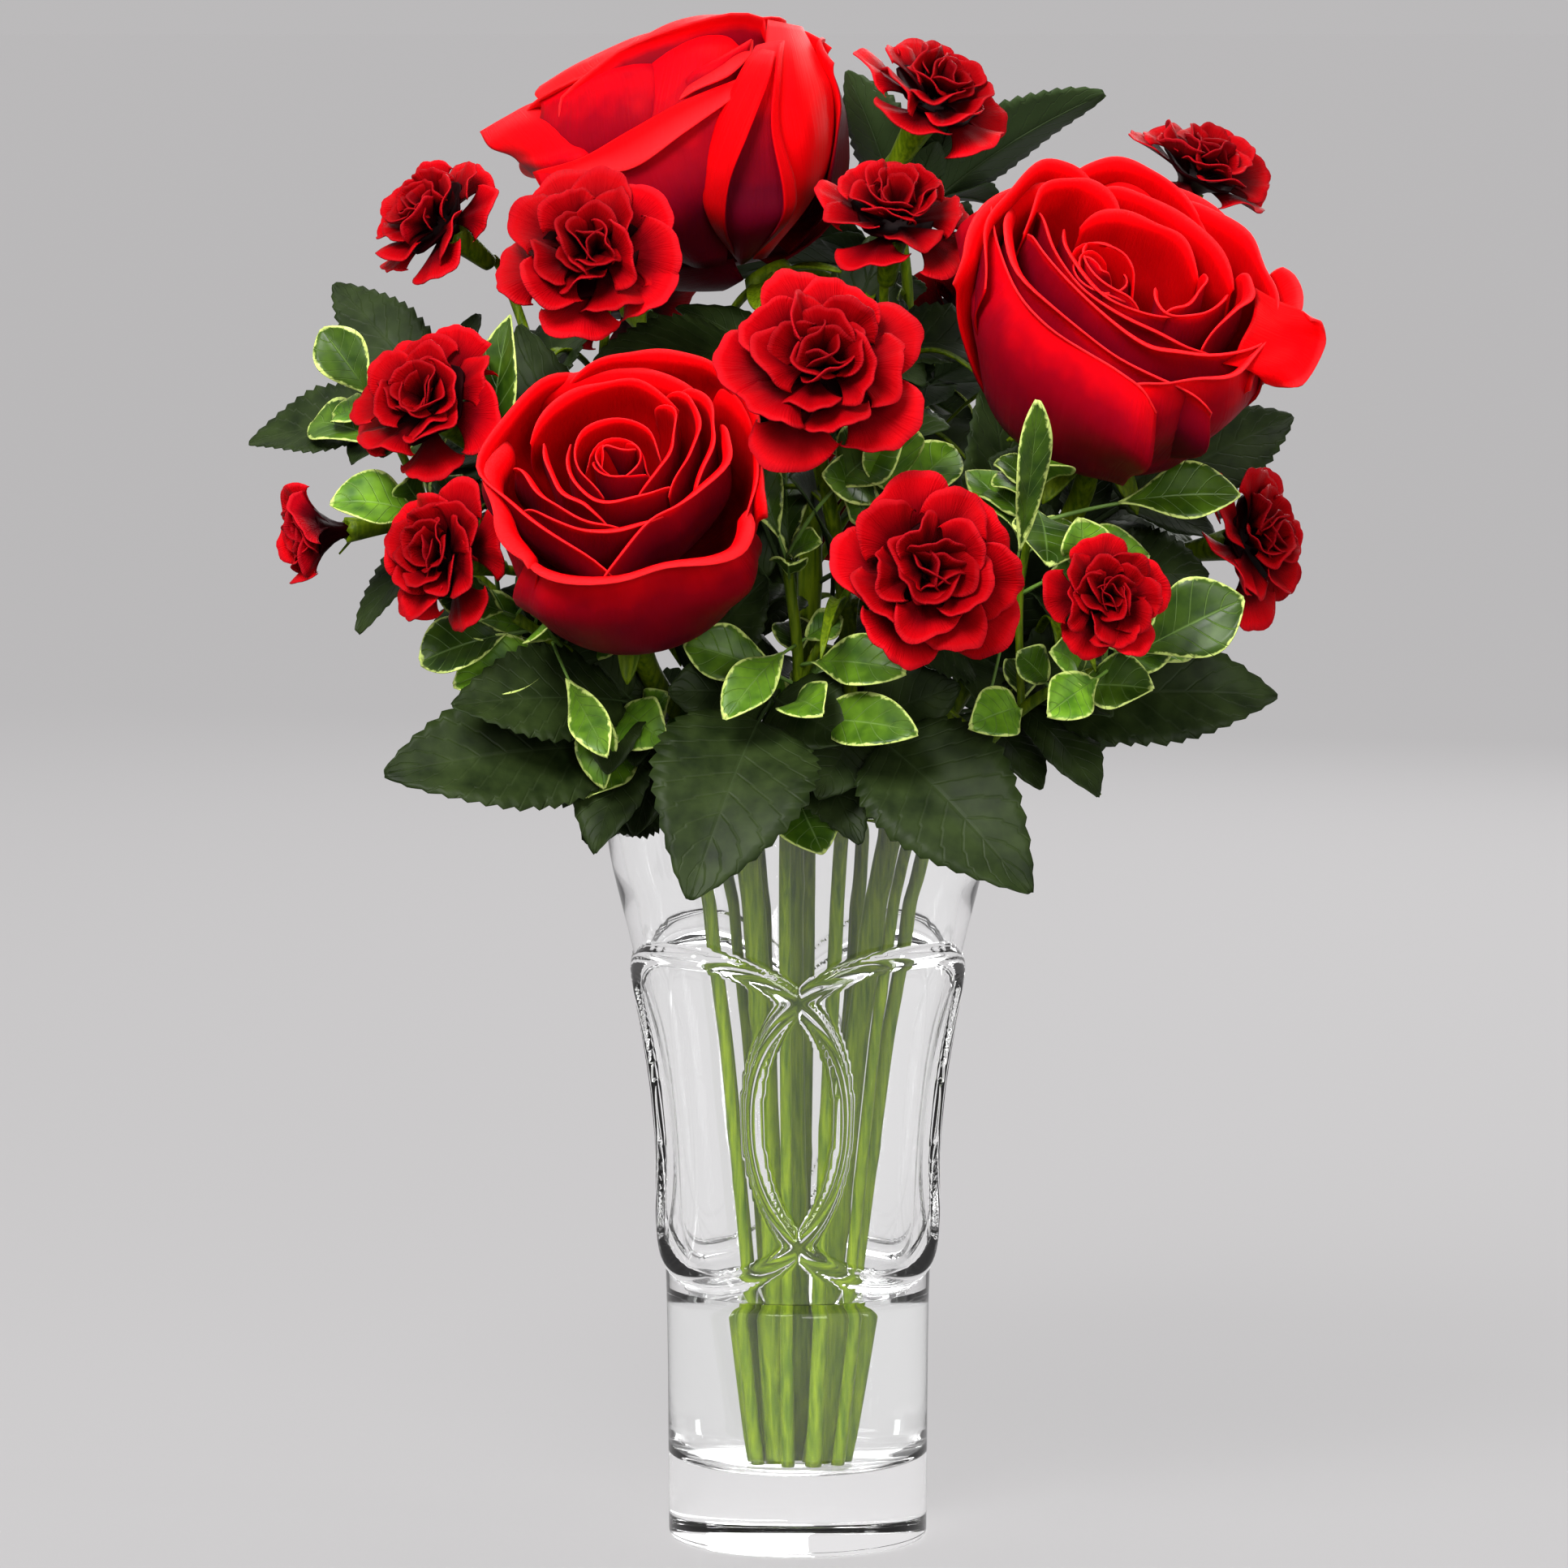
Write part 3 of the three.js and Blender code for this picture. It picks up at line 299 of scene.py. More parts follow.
# %% [markdown]
# ## The flowers' places
# These are the places that the solids were built from. A rose has a foot on the vase's floor, a
# place in its mouth, points up the bunch, a seat, the way it faces and a width. A leaf has a
# share of its stem, a tip, a width and the length of its stalk.
#
# The roses' petals are finer than the solids', so they have places of their own. An outer petal
# has its shift from an even place round the bloom and half its width, both in degrees, the arc
# and sweep of its rolled edge, and the share by which its middle reaches further out. A rim is
# one more petal, with an arc, a sweep, a belly, and the points that its top passes through in
# the bloom's own frame. The body is the radius of such a bloom underneath, and the heart is how
# far the innermost petals lean off the axis.

# %% Places of the roses and their leaves
MOUTH_LEVEL = 178.0
FLOOR_HEIGHT = 20.0
STEM_STEPS, TWIG_STEPS = 7, 4
ROSE_STEM, SPRAY_STEM, SPRAY_BRANCH, LEAFY_STEM, LEAFY_TWIG = 3.1, 1.9, 1.3, 1.5, 1.1
ROSE_SPAN, CARNATION_SPAN = 80.0, 44.0


def leaf(on, tip, width, stalk, arch=None, twig=None):
    """A leaf's place as named values."""
    return {"on": on, "tip": tip, "width": width, "stalk": stalk, "arch": arch, "twig": twig}


ROSES = {
    "rose_top": {
        "foot": (0.4, 2.6), "mouth": (-1.5, 5), "through": [(3, 6, 250), (2.5, 4.5, 319)],
        "seat": (-9, 10, 341), "faces": (-0.46, 0.22, 0.86), "roll": 10, "span": 90,
        "heart": (2, -2), "skew": -2.6, "lift": (1.0, -0.11),
        "outer": [(0, 52, 6, 60, -0.1), (0, 52, 6, 50, 0), (6, 50, 6, 60, 0.1)],
        "rims": [],
        "leaves": [
            leaf(0.4, (-28, -95, 183), 42, 62, 0.24), leaf(0.36, (60, -80, 183), 38, 58, 0.26),
            leaf(0.34, (2, -64, 194), 20, 44, 0.3), leaf(0.64, (0, -70, 268), 27, 38, 0.16),
            leaf(0.7, (-62, -28, 318), 28, 16, 0.1), leaf(0.72, (54, -30, 318), 28, 16, 0.1),
            leaf(0.5, (-62, -26, 270), 30, 18, 0.1),
        ],
    },
    "rose_right": {
        "foot": (3.9, -4.4), "mouth": (22, -7), "through": [(46, -13, 235), (72.6, -17.6, 277)],
        "seat": (78, -35, 301), "faces": (0.18, -0.58, 0.79), "roll": 0, "span": 88,
        "body": 26.0, "heart": (-9, 6), "skew": 2.6, "lift": (0.0, 0.0),
        "outer": [(0, 46, 5, 60, 0), (0, 52, 6, 60, 0), (0, 52, 6, 66, 0)],
        "rims": [
            (1.5, 50, 1.16, [(-36, 20, 47), (-33, 5, 45), (-28, -9, 44), (-20, -20, 44),
                             (-11, -28, 44), (-3, -33, 44), (3, -36, 43), (8, -36, 38)]),
            (2.5, 70, 1.06, [(1, -33, 42), (9, -34, 44), (17, -30, 44), (26, -25, 44),
                            (32, -14, 45), (35, -4, 46)]),
            (3, 60, 1.0, [(33, -14, 47), (34, -2, 49), (31, 8, 50), (26, 20, 50), (16, 28, 50),
                          (7, 36, 49)]),
            (3, 60, 1.0, [(18, 24, 49), (11, 31, 50), (3, 38, 50), (-5, 40, 50), (-13, 37, 50),
                          (-21, 31, 49)]),
            (3, 60, 1.0, [(-8, 30, 49), (-17, 35, 50), (-25, 34, 50), (-32, 21, 49), (-36, 8, 48),
                          (-35, -6, 47)]),
            (3.4, 74, 1.04, [(-29, 24, 49), (-32, 10, 48), (-29, -4, 46), (-19, -14, 44),
                             (-7, -24, 43), (3, -29, 43), (13, -32, 43), (21, -33, 44)]),
            (3.0, 72, 1.03, [(-26, 15, 49), (-23, 4, 48), (-15, -8, 47), (-6, -17, 46), (3, -22, 45),
                             (10, -23, 45), (20, -22, 45), (29, -17, 47), (35, -7, 49)]),
            (2.8, 70, 1.0, [(-24, 25, 48), (-23, 15, 48), (-20, 4, 47), (-14, -6, 46), (-6, -12, 46),
                            (4, -16, 45), (13, -19, 45), (22, -16, 46)]),
            (2.2, 66, 1.0, [(-17, 22, 47), (-17, 11, 46), (-15, 3, 46), (-9, -5, 45), (-3, -10, 45),
                            (4, -11, 45), (11, -9, 46), (17, -2, 47)]),
            (1.6, 60, 1.0, [(-4, 19, 46), (-12, 13, 45), (-12, 7, 44), (-9, 2, 44), (-3, -3, 44),
                            (3, -3, 45)]),
            (1.8, 62, 1.0, [(6, 4, 48), (5, -7, 47), (9, -11, 46), (16, -9, 46), (21, -2, 47),
                            (23, 5, 48)]),
            (1.6, 60, 1.0, [(6, -8, 46), (12, -6, 46), (17, 2, 47), (16, 11, 47)]),
            (2.6, 68, 1.0, [(18, -14, 47), (25, -6, 48), (28, 2, 49), (25, 12, 49)]),
            (2.6, 68, 1.0, [(24, 8, 49), (17, 19, 49), (6, 27, 49), (-5, 30, 49), (-14, 30, 49)]),
            (2.6, 68, 1.0, [(16, 10, 48), (8, 19, 48), (-3, 23, 48), (-13, 22, 48)]),
            (2.6, 68, 1.0, [(-4, 22, 49), (-8, 28, 50), (-15, 30, 50), (-23, 25, 50), (-27, 15, 49)]),
            (0.6, 50, 1.0, [(-15, 3, 42), (-12, 8, 44), (-8, 4, 44), (-4, 8, 42)]),
        ],
        "leaves": [
            leaf(0.42, (123, -40, 229), 32, 28, 0.1), leaf(0.68, (135, -10, 302), 26, 28, 0.05),
            leaf(0.6, (108, -35, 262), 28, 20, 0.08), leaf(0.7, (118, 8, 274), 30, 16, 0.08),
            leaf(0.5, (22, -66, 250), 28, 22, 0.12),
        ],
    },
    "rose_left": {
        "foot": (-3.7, -4.8), "mouth": (-12.5, -12), "through": [(-27, -20, 215), (-40, -36, 239)],
        "seat": (-42, -57, 260.5), "faces": (-0.06, -0.7, 0.71), "roll": 20, "span": 78,
        "body": 26.5, "heart": (2, 10), "skew": 2.6, "lift": (0.0, 0.0),
        "outer": [(0, 48, 5, 60, 0), (0, 52, 6, 60, 0)],
        "rims": [
            (5.0, 105, 1.08, [(-24, 28, 44), (-33, 18, 45), (-35, 6, 44), (-36, -6, 43),
                              (-33, -15, 41)]),
            (3.6, 118, 1.16, [(-34, -9, 39), (-31, -18, 40), (-24, -24, 40), (-12, -29, 40),
                              (0, -30, 40), (12, -33, 40), (20, -32, 40), (25, -26, 40), (28, -17, 38)]),
            (3, 60, 1.0, [(24, -24, 41), (31, -15, 44), (36, -5, 47), (40, 5, 48), (39, 16, 50),
                          (32, 27, 50)]),
            (3, 60, 1.0, [(38, 16, 50), (33, 26, 50), (23, 34, 50), (12, 38, 50), (-2, 38, 50)]),
            (3.0, 70, 1.0, [(4, 40, 49), (-9, 39, 49), (-21, 32, 48), (-35, 18, 47), (-30, 2, 46),
                            (-22, -13, 44), (-13, -24, 42)]),
            (3.0, 72, 1.04, [(-20, -24, 36), (-12, -23, 41), (0, -18, 45), (9, -17, 46), (17, -13, 46),
                             (27, -8, 47), (30, 1, 48), (31, 9, 49)]),
            (2.8, 70, 1.02, [(-27, 4, 47), (-23, -6, 46), (-18, -13, 45), (-8, -17, 45), (0, -17, 45),
                             (9, -14, 46)]),
            (2.6, 68, 1.0, [(-25, 18, 48), (-24, 9, 47), (-22, 1, 46), (-19, -6, 46), (-13, -12, 45),
                            (-4, -13, 45)]),
            (2.6, 68, 1.0, [(-15, 24, 47), (-17, 12, 47), (-18, 2, 46), (-14, -6, 46), (-8, -10, 45)]),
            (2.2, 66, 1.0, [(-8, 22, 46), (-12, 12, 46), (-13, 3, 46), (-10, -4, 45), (-4, -8, 45),
                            (4, -8, 45), (12, -4, 46)]),
            (1.6, 60, 1.0, [(1, -4, 45), (9, -2, 46), (16, 4, 47), (20, 14, 47), (17, 23, 47)]),
            (1.8, 62, 1.0, [(10, -7, 46), (18, -1, 47), (24, 6, 48), (26, 16, 48), (21, 25, 48)]),
            (2.6, 68, 1.0, [(15, -10, 46), (23, -4, 48), (28, 4, 49), (29, 14, 49), (25, 24, 49)]),
            (2.6, 68, 1.0, [(22, 18, 49), (14, 28, 49), (3, 31, 49), (-9, 29, 49), (-18, 24, 49)]),
            (1.6, 50, 1.0, [(13, 6, 45), (12, 14, 45), (6, 20, 45), (-3, 20, 45), (-9, 15, 45),
                            (-10, 8, 45), (-6, 1, 45)]),
            (0.6, 50, 1.0, [(-4, 8, 42), (-1, 13, 44), (4, 9, 44), (8, 13, 42)]),
        ],
        "leaves": [
            leaf(0.5, (-114, -40, 212), 35, 24, 0.08), leaf(0.4, (-80, 20, 214), 30, 20, 0.1),
            leaf(0.6, (-96, -48, 230), 28, 18, 0.08),
        ],
    },
}
print("roses:", len(ROSES), "rims:", sum(len(rose["rims"]) for rose in ROSES.values()))

# %% [markdown]
# A petal that is folded along a side, or hangs out of the bloom, can't be told by its rim alone.
# It is drawn through a net of points instead. Each has its start, which is how far up a petal's
# colours its first row is, and then rows from foot to rim, in millimetres. Columns go from left
# to right where the petal's back is seen from the front, and from right to left where its face
# is.

# %% Petals drawn through points
DRAWN_PETALS = {
    "rose_top": [
        (0.3, [  # the low front petal, rolled over
            [(-34, 2, 344), (-30, -2, 343), (-27, -6, 342), (-23, -8, 342), (-19, -8, 343)],
            [(-51, -14, 348), (-43, -23, 350), (-35, -27, 354), (-26, -28, 359), (-18, -26, 363)],
            [(-65, -16, 360), (-55, -24, 363), (-42, -29, 368), (-29, -29, 374), (-18, -26, 381)],
            [(-70, -10, 367), (-57, -21, 371), (-45, -26, 378), (-30, -26, 386), (-15, -22, 392)],
            [(-67, -14, 363), (-55, -26, 367), (-43, -32, 369), (-30, -32, 378), (-17, -26, 387)],
        ]),
        (0.4, [  # the petal behind it
            [(-34, 6, 343), (-30, 2, 344), (-27, 0, 344), (-23, 0, 344), (-19, 2, 344)],
            [(-46, -8, 367), (-39, -16, 370), (-31, -20, 373), (-23, -20, 377), (-16, -16, 381)],
            [(-41, -10, 380), (-34, -18, 386), (-28, -21, 391), (-20, -20, 395), (-13, -12, 399)],
            [(-41, -6, 382), (-35, -14, 388), (-28, -18, 393), (-19, -17, 398), (-12, -8, 402)],
            [(-39, -9, 380), (-33, -20, 385), (-27, -24, 389), (-18, -23, 393), (-12, -12, 398)],
        ]),
        (0.1, [  # the front right petal, folded along both sides
            [(-16, -8, 344), (-16, -8, 344), (-15, -9, 343), (-13, -8, 344), (-13, -8, 344)],
            [(-19, -30, 353), (-23, -26, 355), (-13, -27, 353), (-3, -26, 355), (-5, -29, 354)],
            [(-18, -34, 365), (-25, -28, 365), (-13, -28, 365), (-1, -27, 364), (-4, -32, 363)],
            [(-13, -33, 378), (-22, -27, 379), (-12, -27, 379), (-5, -27, 379), (-7, -30, 379)],
            [(-8, -28, 391), (-16, -23, 392), (-10, -23, 392), (-5, -23, 392), (-6, -26, 392)],
            [(-6, -20, 399), (-11, -13, 400), (-9, -14, 401), (-4, -14, 402), (-5, -18, 401)],
        ]),
        (0.55, [  # the petal at the far right
            [(-9, 22, 346), (-8, 12, 345), (-9, 6, 344), (-12, 0, 344)],
            [(1, 22, 366), (5, 6, 363), (2, -10, 359), (-5, -19, 358)],
            [(4, 22, 376), (9, 2, 373), (3, -20, 373), (-9, -25, 371)],
            [(4, 22, 389), (9, 2, 388), (1, -20, 386), (-10, -25, 384)],
            [(2, 24, 398), (5, 6, 397), (-1, -12, 398), (-9, -17, 396)],
            [(-2, 26, 404), (1, 10, 405), (-3, 0, 406), (-8, 2, 407)],
        ]),
        (0.5, [  # the inner petal at the top
            [(-37, 6, 348), (-31, 0, 348), (-25, -4, 348), (-19, 0, 348), (-15, 4, 348)],
            [(-51, -12, 373), (-41, -20, 373), (-29, -23, 374), (-19, -20, 377), (-13, -8, 378)],
            [(-46, -6, 391), (-38, -14, 394), (-27, -18, 396), (-19, -16, 395), (-11, -4, 395)],
            [(-44, 4, 399), (-35, 0, 403), (-26, -4, 405), (-18, -2, 405), (-13, 6, 403)],
            [(-42, 12, 402), (-34, 10, 406), (-26, 8, 408), (-18, 8, 408), (-13, 14, 406)],
        ]),
        (0.45, [  # the inner petal at the left
            [(-41, 8, 348), (-37, 2, 348), (-32, -2, 348), (-28, 0, 348), (-24, 4, 348)],
            [(-67, -2, 370), (-56, -14, 370), (-45, -20, 373), (-35, -20, 376), (-26, -10, 378)],
            [(-68, 2, 384), (-58, -8, 387), (-48, -14, 391), (-38, -14, 394), (-29, -6, 395)],
            [(-70, 12, 387), (-62, 6, 392), (-53, 2, 396), (-44, 2, 399), (-37, 8, 401)],
            [(-69, 20, 389), (-61, 16, 394), (-53, 14, 398), (-44, 14, 402), (-37, 18, 404)],
        ]),
        (0.6, [  # the pointed petal at the far left
            [(-45, 10, 348), (-41, 4, 348), (-37, 2, 348), (-32, 8, 348)],
            [(-70, 6, 366), (-65, -8, 366), (-56, -16, 368), (-46, -10, 370)],
            [(-76, 8, 371), (-69, -6, 372), (-59, -12, 375), (-48, -4, 378)],
            [(-82, 14, 373), (-75, 4, 378), (-65, -2, 381), (-52, 6, 382)],
            [(-85, 20, 377), (-78, 16, 381), (-70, 14, 385), (-57, 18, 388)],
        ]),
    ],
    "rose_right": [
        (0.45, [  # the petal that hangs out at the right
            [(109, -78, 320), (112, -77, 322), (114, -75, 326), (117, -69, 331), (118, -62, 336),
             (116, -57, 340)],
            [(114, -79, 319), (117, -78, 320), (120, -75, 323), (124, -71, 328), (124, -69, 331),
             (123, -64, 336)],
            [(118, -78, 317), (122, -78, 318), (126, -76, 321), (130, -70, 326), (130, -70, 330),
             (128, -67, 334)],
            [(119, -77, 316), (123, -77, 316), (129, -77, 318), (133, -68, 325), (133, -70, 330),
             (130, -68, 333)],
            [(120, -76, 315), (124, -75, 314), (130, -79, 315), (136, -67, 324), (135, -71, 330),
             (132, -72, 331)],
        ]),
    ],
    "rose_left": [],
}
print("drawn petals:", sum(len(nets) for nets in DRAWN_PETALS.values()))

# %% [markdown]
# A carnation has the middle of its head, the way it faces, a width, and the share of its spray's
# stem where its branch leaves. Carnations 02, 04 and 12 face the viewer a little more than
# their solids do, because their faces show in the photograph.


# %% Places of the carnations
def bloom(name, middle, faces, span, on=None, via=(), opened=1.0):
    """A carnation's place as named values: the first of a spray sits on the spray's own stem."""
    return {"name": name, "middle": middle, "faces": faces, "span": span, "on": on,
            "via": list(via), "opened": opened}


SPRAYS = {
    "spray_left": {
        "foot": (-8.4, -1.2), "mouth": (-25, -3), "through": [(-45, -8, 225), (-65, -14, 265)],
        "blooms": [
            bloom("carnation_07", (-99, -45, 310), (-0.45, -0.75, 0.48), 44),
            bloom("carnation_04", (-99, -10, 357), (-0.66, -0.5, 0.56), 40, 0.7, [(-68, -4, 305)]),
            bloom("carnation_05", (-54, -58, 349), (-0.1, -0.9, 0.42), 48, 0.6, [(-54, -16, 300)]),
            bloom("carnation_08", (-95, -62, 270), (-0.68, -0.7, 0.2), 40, 0.58),
            bloom("carnation_09", (-128, -20, 272), (-0.95, -0.25, -0.1), 34, 0.66,
                  [(-88, -12, 270)], 0.4),
        ],
    },
    "spray_front": {
        "foot": (3.4, -11.2), "mouth": (10.5, -24), "through": [(14, -42, 218), (11, -52, 265)],
        "blooms": [
            bloom("carnation_06", (6, -102, 323), (0.05, -0.88, 0.47), 52),
            bloom("carnation_10", (34, -102, 268), (0.1, -0.97, 0.2), 50, 0.58),
        ],
    },
    "spray_right": {
        "foot": (9.2, -1.6), "mouth": (32, 0), "through": [(60, -5, 225), (82, -15, 256)],
        "blooms": [
            bloom("carnation_12", (123, -32, 272), (0.82, -0.54, 0.2), 42),
            bloom("carnation_11", (80, -88, 261), (0.2, -0.95, 0.2), 32, 0.5, [(70, -40, 242)]),
        ],
    },
    "spray_top": {
        "foot": (6.7, 4.4), "mouth": (17, 11), "through": [(22, 14, 250), (24, 20, 320)],
        "blooms": [
            bloom("carnation_01", (39, 12, 390), (0.45, -0.45, 0.77), 45),
            bloom("carnation_03", (26, -32, 360), (0.1, -0.6, 0.79), 42, 0.62, [(24, 0, 308)]),
            bloom("carnation_02", (110, 25, 370), (0.45, -0.34, 0.83), 41, 0.5, [(62, 18, 290)]),
        ],
    },
    "spray_back": {
        "foot": (0.6, 9.4), "mouth": (3, 20), "through": [(2, 45, 228), (0, 60, 250)],
        "blooms": [
            bloom("carnation_14", (0, 100, 275), (0, 0.93, 0.36), 44),
            bloom("carnation_13", (-50, 75, 335), (-0.45, 0.65, 0.6), 42, 0.6, [(-20, 48, 280)]),
            bloom("carnation_15", (50, 80, 325), (0.5, 0.7, 0.5), 42, 0.6, [(18, 50, 280)]),
        ],
    },
}
print("carnations:", sum(len(spray["blooms"]) for spray in SPRAYS.values()))

# %% [markdown]
# Two stems carry large dark leaves, and four sprigs carry small cream-edged ones. A twig leaves
# its sprig's stem at a share of its length, and a leaf on a twig names it by its number.

# %% Places of the foliage
FOLIAGE = {
    "foliage_left": {
        "edged": False, "foot": (-5.8, 3.9), "mouth": (-19, 10),
        "through": [(-45, 12, 235), (-75, 8, 285), (-95, 6, 300)], "twigs": [],
        "leaves": [
            leaf(1, (-147, 10, 294), 26, 12, 0.06), leaf(0.9, (-125, 32, 336), 20, 12, 0.06),
            leaf(0.72, (-112, -20, 245), 20, 14, 0.1), leaf(0.5, (-100, 55, 240), 32, 16, 0.1),
            leaf(0.75, (-85, 62, 300), 28, 14, 0.1), leaf(0.36, (-62, 78, 205), 34, 24, 0.16),
            leaf(0.8, (-52, 20, 330), 26, 12, 0.1),
        ],
    },
    "foliage_back": {
        "edged": False, "foot": (6, 10.4), "mouth": (17, 25),
        "through": [(30, 38, 250), (30, 36, 325), (28, 32, 350)], "twigs": [],
        "leaves": [
            leaf(1, (83, 40, 387), 28, 14, 0.06), leaf(0.96, (13, 44, 393), 25, 8, 0.05),
            leaf(0.42, (52, 98, 222), 36, 20, 0.16), leaf(0.3, (-2, 92, 202), 34, 30, 0.2),
            leaf(0.36, (98, 42, 216), 36, 28, 0.14), leaf(0.68, (86, 78, 296), 32, 18, 0.1),
            leaf(0.8, (-18, 82, 336), 28, 16, 0.1),
        ],
    },
    "sprig_left": {
        "edged": True, "foot": (-8.6, -7.6), "mouth": (-24, -15),
        "through": [(-38, -26, 215), (-58, -38, 240), (-74, -44, 252)],
        "twigs": [(0.62, [(-66, -28, 246), (-92, -26, 270), (-110, -14, 304)])],
        "leaves": [
            leaf(0.72, (-83, -60, 234), 18, 6), leaf(0.92, (-99, -45, 240), 18, 7),
            leaf(1, (-92, -50, 262), 14, 4), leaf(0.66, (-50, -62, 218), 11, 5),
            leaf(0.5, (-56, -50, 211), 13, 6), leaf(0.55, (-70, -14, 222), 14, 5),
            leaf(0.7, (-123, -35, 281), 18, 7, twig=0), leaf(1, (-126, -12, 326), 14, 5, twig=0),
            leaf(0.9, (-124, 12, 300), 14, 5, twig=0), leaf(0.5, (-75, -40, 331), 15, 22, twig=0),
            leaf(0.75, (-100, 10, 305), 13, 5, twig=0), leaf(0.3, (-90, -44, 250), 16, 5, twig=0),
            leaf(0.8, (-62, -66, 226), 16, 6), leaf(0.6, (-34, -58, 226), 15, 6),
        ],
    },
    "sprig_front": {
        "edged": True, "foot": (-2.2, -11.4), "mouth": (-3.5, -25),
        "through": [(-2, -40, 212), (0, -52, 240), (-3, -56, 268)],
        "twigs": [(0.7, [(14, -58, 262), (24, -58, 282)])],
        "leaves": [
            leaf(0.8, (-19, -78, 228), 12, 8), leaf(0.62, (-1, -82, 230), 14, 8),
            leaf(0.6, (31, -80, 225), 15, 8), leaf(0.45, (8, -66, 204), 16, 6),
            leaf(0.95, (6, -74, 291), 15, 5, twig=0), leaf(1, (20, -72, 306), 18, 4, twig=0),
            leaf(0.9, (46, -68, 262), 13, 5, twig=0), leaf(1, (-22, -54, 296), 13, 6),
            leaf(0.95, (-3, -48, 300), 13, 6), leaf(0.7, (-30, -58, 246), 15, 6),
            leaf(0.75, (28, -72, 240), 15, 6), leaf(0.8, (46, -52, 296), 15, 5, twig=0),
        ],
    },
    "sprig_right": {
        "edged": True, "foot": (8.6, -8.6), "mouth": (26, -20),
        "through": [(45, -38, 212), (62, -52, 231), (84, -54, 241)],
        "twigs": [(0.7, [(58, -46, 258), (62, -52, 284)])],
        "leaves": [
            leaf(1, (116, -60, 258), 21, 5), leaf(0.8, (92, -68, 235), 16, 6),
            leaf(0.95, (70, -66, 274), 13, 10), leaf(0.7, (44, -72, 226), 14, 5),
            leaf(1, (61, -79, 308), 14, 5, twig=0), leaf(0.95, (64, -78, 268), 19, 5, twig=0),
            leaf(0.85, (112, -58, 296), 17, 24, twig=0), leaf(0.7, (44, -40, 290), 13, 5, twig=0),
            leaf(0.9, (104, -30, 246), 14, 5), leaf(0.85, (70, -74, 246), 16, 5),
            leaf(0.5, (92, -40, 268), 17, 6, twig=0),
        ],
    },
    "sprig_back": {
        "edged": True, "foot": (-4.6, 9.8), "mouth": (-10, 22),
        "through": [(-26, 44, 225), (-48, 62, 258), (-64, 62, 284)],
        "twigs": [(0.5, [(0, 66, 262), (22, 72, 292), (28, 72, 318)])],
        "leaves": [
            leaf(1, (-92, 72, 300), 17, 5), leaf(0.9, (-84, 42, 270), 15, 5),
            leaf(0.85, (-70, 92, 264), 16, 5), leaf(0.75, (-36, 92, 246), 16, 5),
            leaf(0.6, (-64, 66, 224), 16, 5), leaf(0.55, (34, 98, 268), 16, 5, twig=0),
            leaf(0.7, (-10, 88, 306), 15, 5, twig=0), leaf(0.85, (50, 60, 300), 15, 5, twig=0),
            leaf(1, (16, 88, 346), 15, 5, twig=0), leaf(0.4, (26, 78, 240), 15, 5, twig=0),
        ],
    },
}
print("foliage leaves:", sum(len(plant["leaves"]) for plant in FOLIAGE.values()))

# %% [markdown]
# ## Finishes
# Each finish starts from one Principled shader. Numbers that are the same all over are set on
# the shader itself, and only what changes over the surface goes through nodes. Patterns that
# follow a petal or a leaf read the numbers stored per point: how far along, how far across,
# which side.


# %% A small kit for finishes
def new_finish(name, **sockets):
    """A material with its shader's sockets set, and the shader."""
    material = bpy.data.materials.new(name)
    material.use_nodes = True
    shader = material.node_tree.nodes["Principled BSDF"]
    for socket, value in sockets.items():
        shader.inputs[socket.replace("_", " ")].default_value = value
    return material, shader


def add(shader, kind, **settings):
    """A node beside the shader, with its settings."""
    node = shader.id_data.nodes.new("ShaderNode" + kind)
    for key, value in settings.items():
        setattr(node, key, value)
    return node


def feed(shader, source, target):
    """A link from one socket to another."""
    shader.id_data.links.new(source, target)


def number(shader, name):
    """The per-point number of that name."""
    return add(shader, "Attribute", attribute_name=name).outputs["Fac"]


def put(shader, value, socket):
    """A plain number, a colour, or another socket's output, put into a socket."""
    if isinstance(value, (int, float)):
        socket.default_value = value
    elif isinstance(value, tuple):
        socket.default_value = (*value, 1)
    else:
        feed(shader, value, socket)


def maths(shader, operation, *values):
    """A sum on sockets and plain numbers."""
    node = add(shader, "Math", operation=operation)
    for socket, value in zip(node.inputs, values):
        put(shader, value, socket)
    return node.outputs[0]


def surface_of(shader):
    """The socket of the material's output that the camera sees."""
    nodes = shader.id_data.nodes
    return next(node for node in nodes if node.type == "OUTPUT_MATERIAL").inputs["Surface"]


print("nodes and sums ready")

# %% [markdown]
# A pattern is a number that changes over the surface, turned into a colour by a ramp or into a
# height by a bump.


# %% Patterns for finishes
def ramp(shader, value, *stops):
    """Colours at places from 0 to 1, blended between."""
    node = add(shader, "ValToRGB")
    elements = node.color_ramp.elements
    while len(elements) < len(stops):
        elements.new(0.5)
    for element, (place, colour) in zip(elements, stops):
        element.position = place
        element.color = (*colour, 1)
    feed(shader, value, node.inputs["Fac"])
    return node.outputs["Color"]


def blend(shader, share, first, second, kind="MIX"):
    """Two colours mixed by a share."""
    node = add(shader, "Mix", data_type="RGBA", blend_type=kind)
    for key, value in (("Factor", share), ("A", first), ("B", second)):
        put(shader, value, node.inputs[key])
    return node.outputs["Result"]


def noise(shader, scale, detail=2.0, vector=None):
    """Cloudy noise on the object's own coordinates, or on a given vector."""
    node = add(shader, "TexNoise")
    node.inputs["Scale"].default_value = scale
    node.inputs["Detail"].default_value = detail
    if vector is None:
        vector = add(shader, "TexCoord").outputs["Object"]
    feed(shader, vector, node.inputs["Vector"])
    return node.outputs["Fac"]


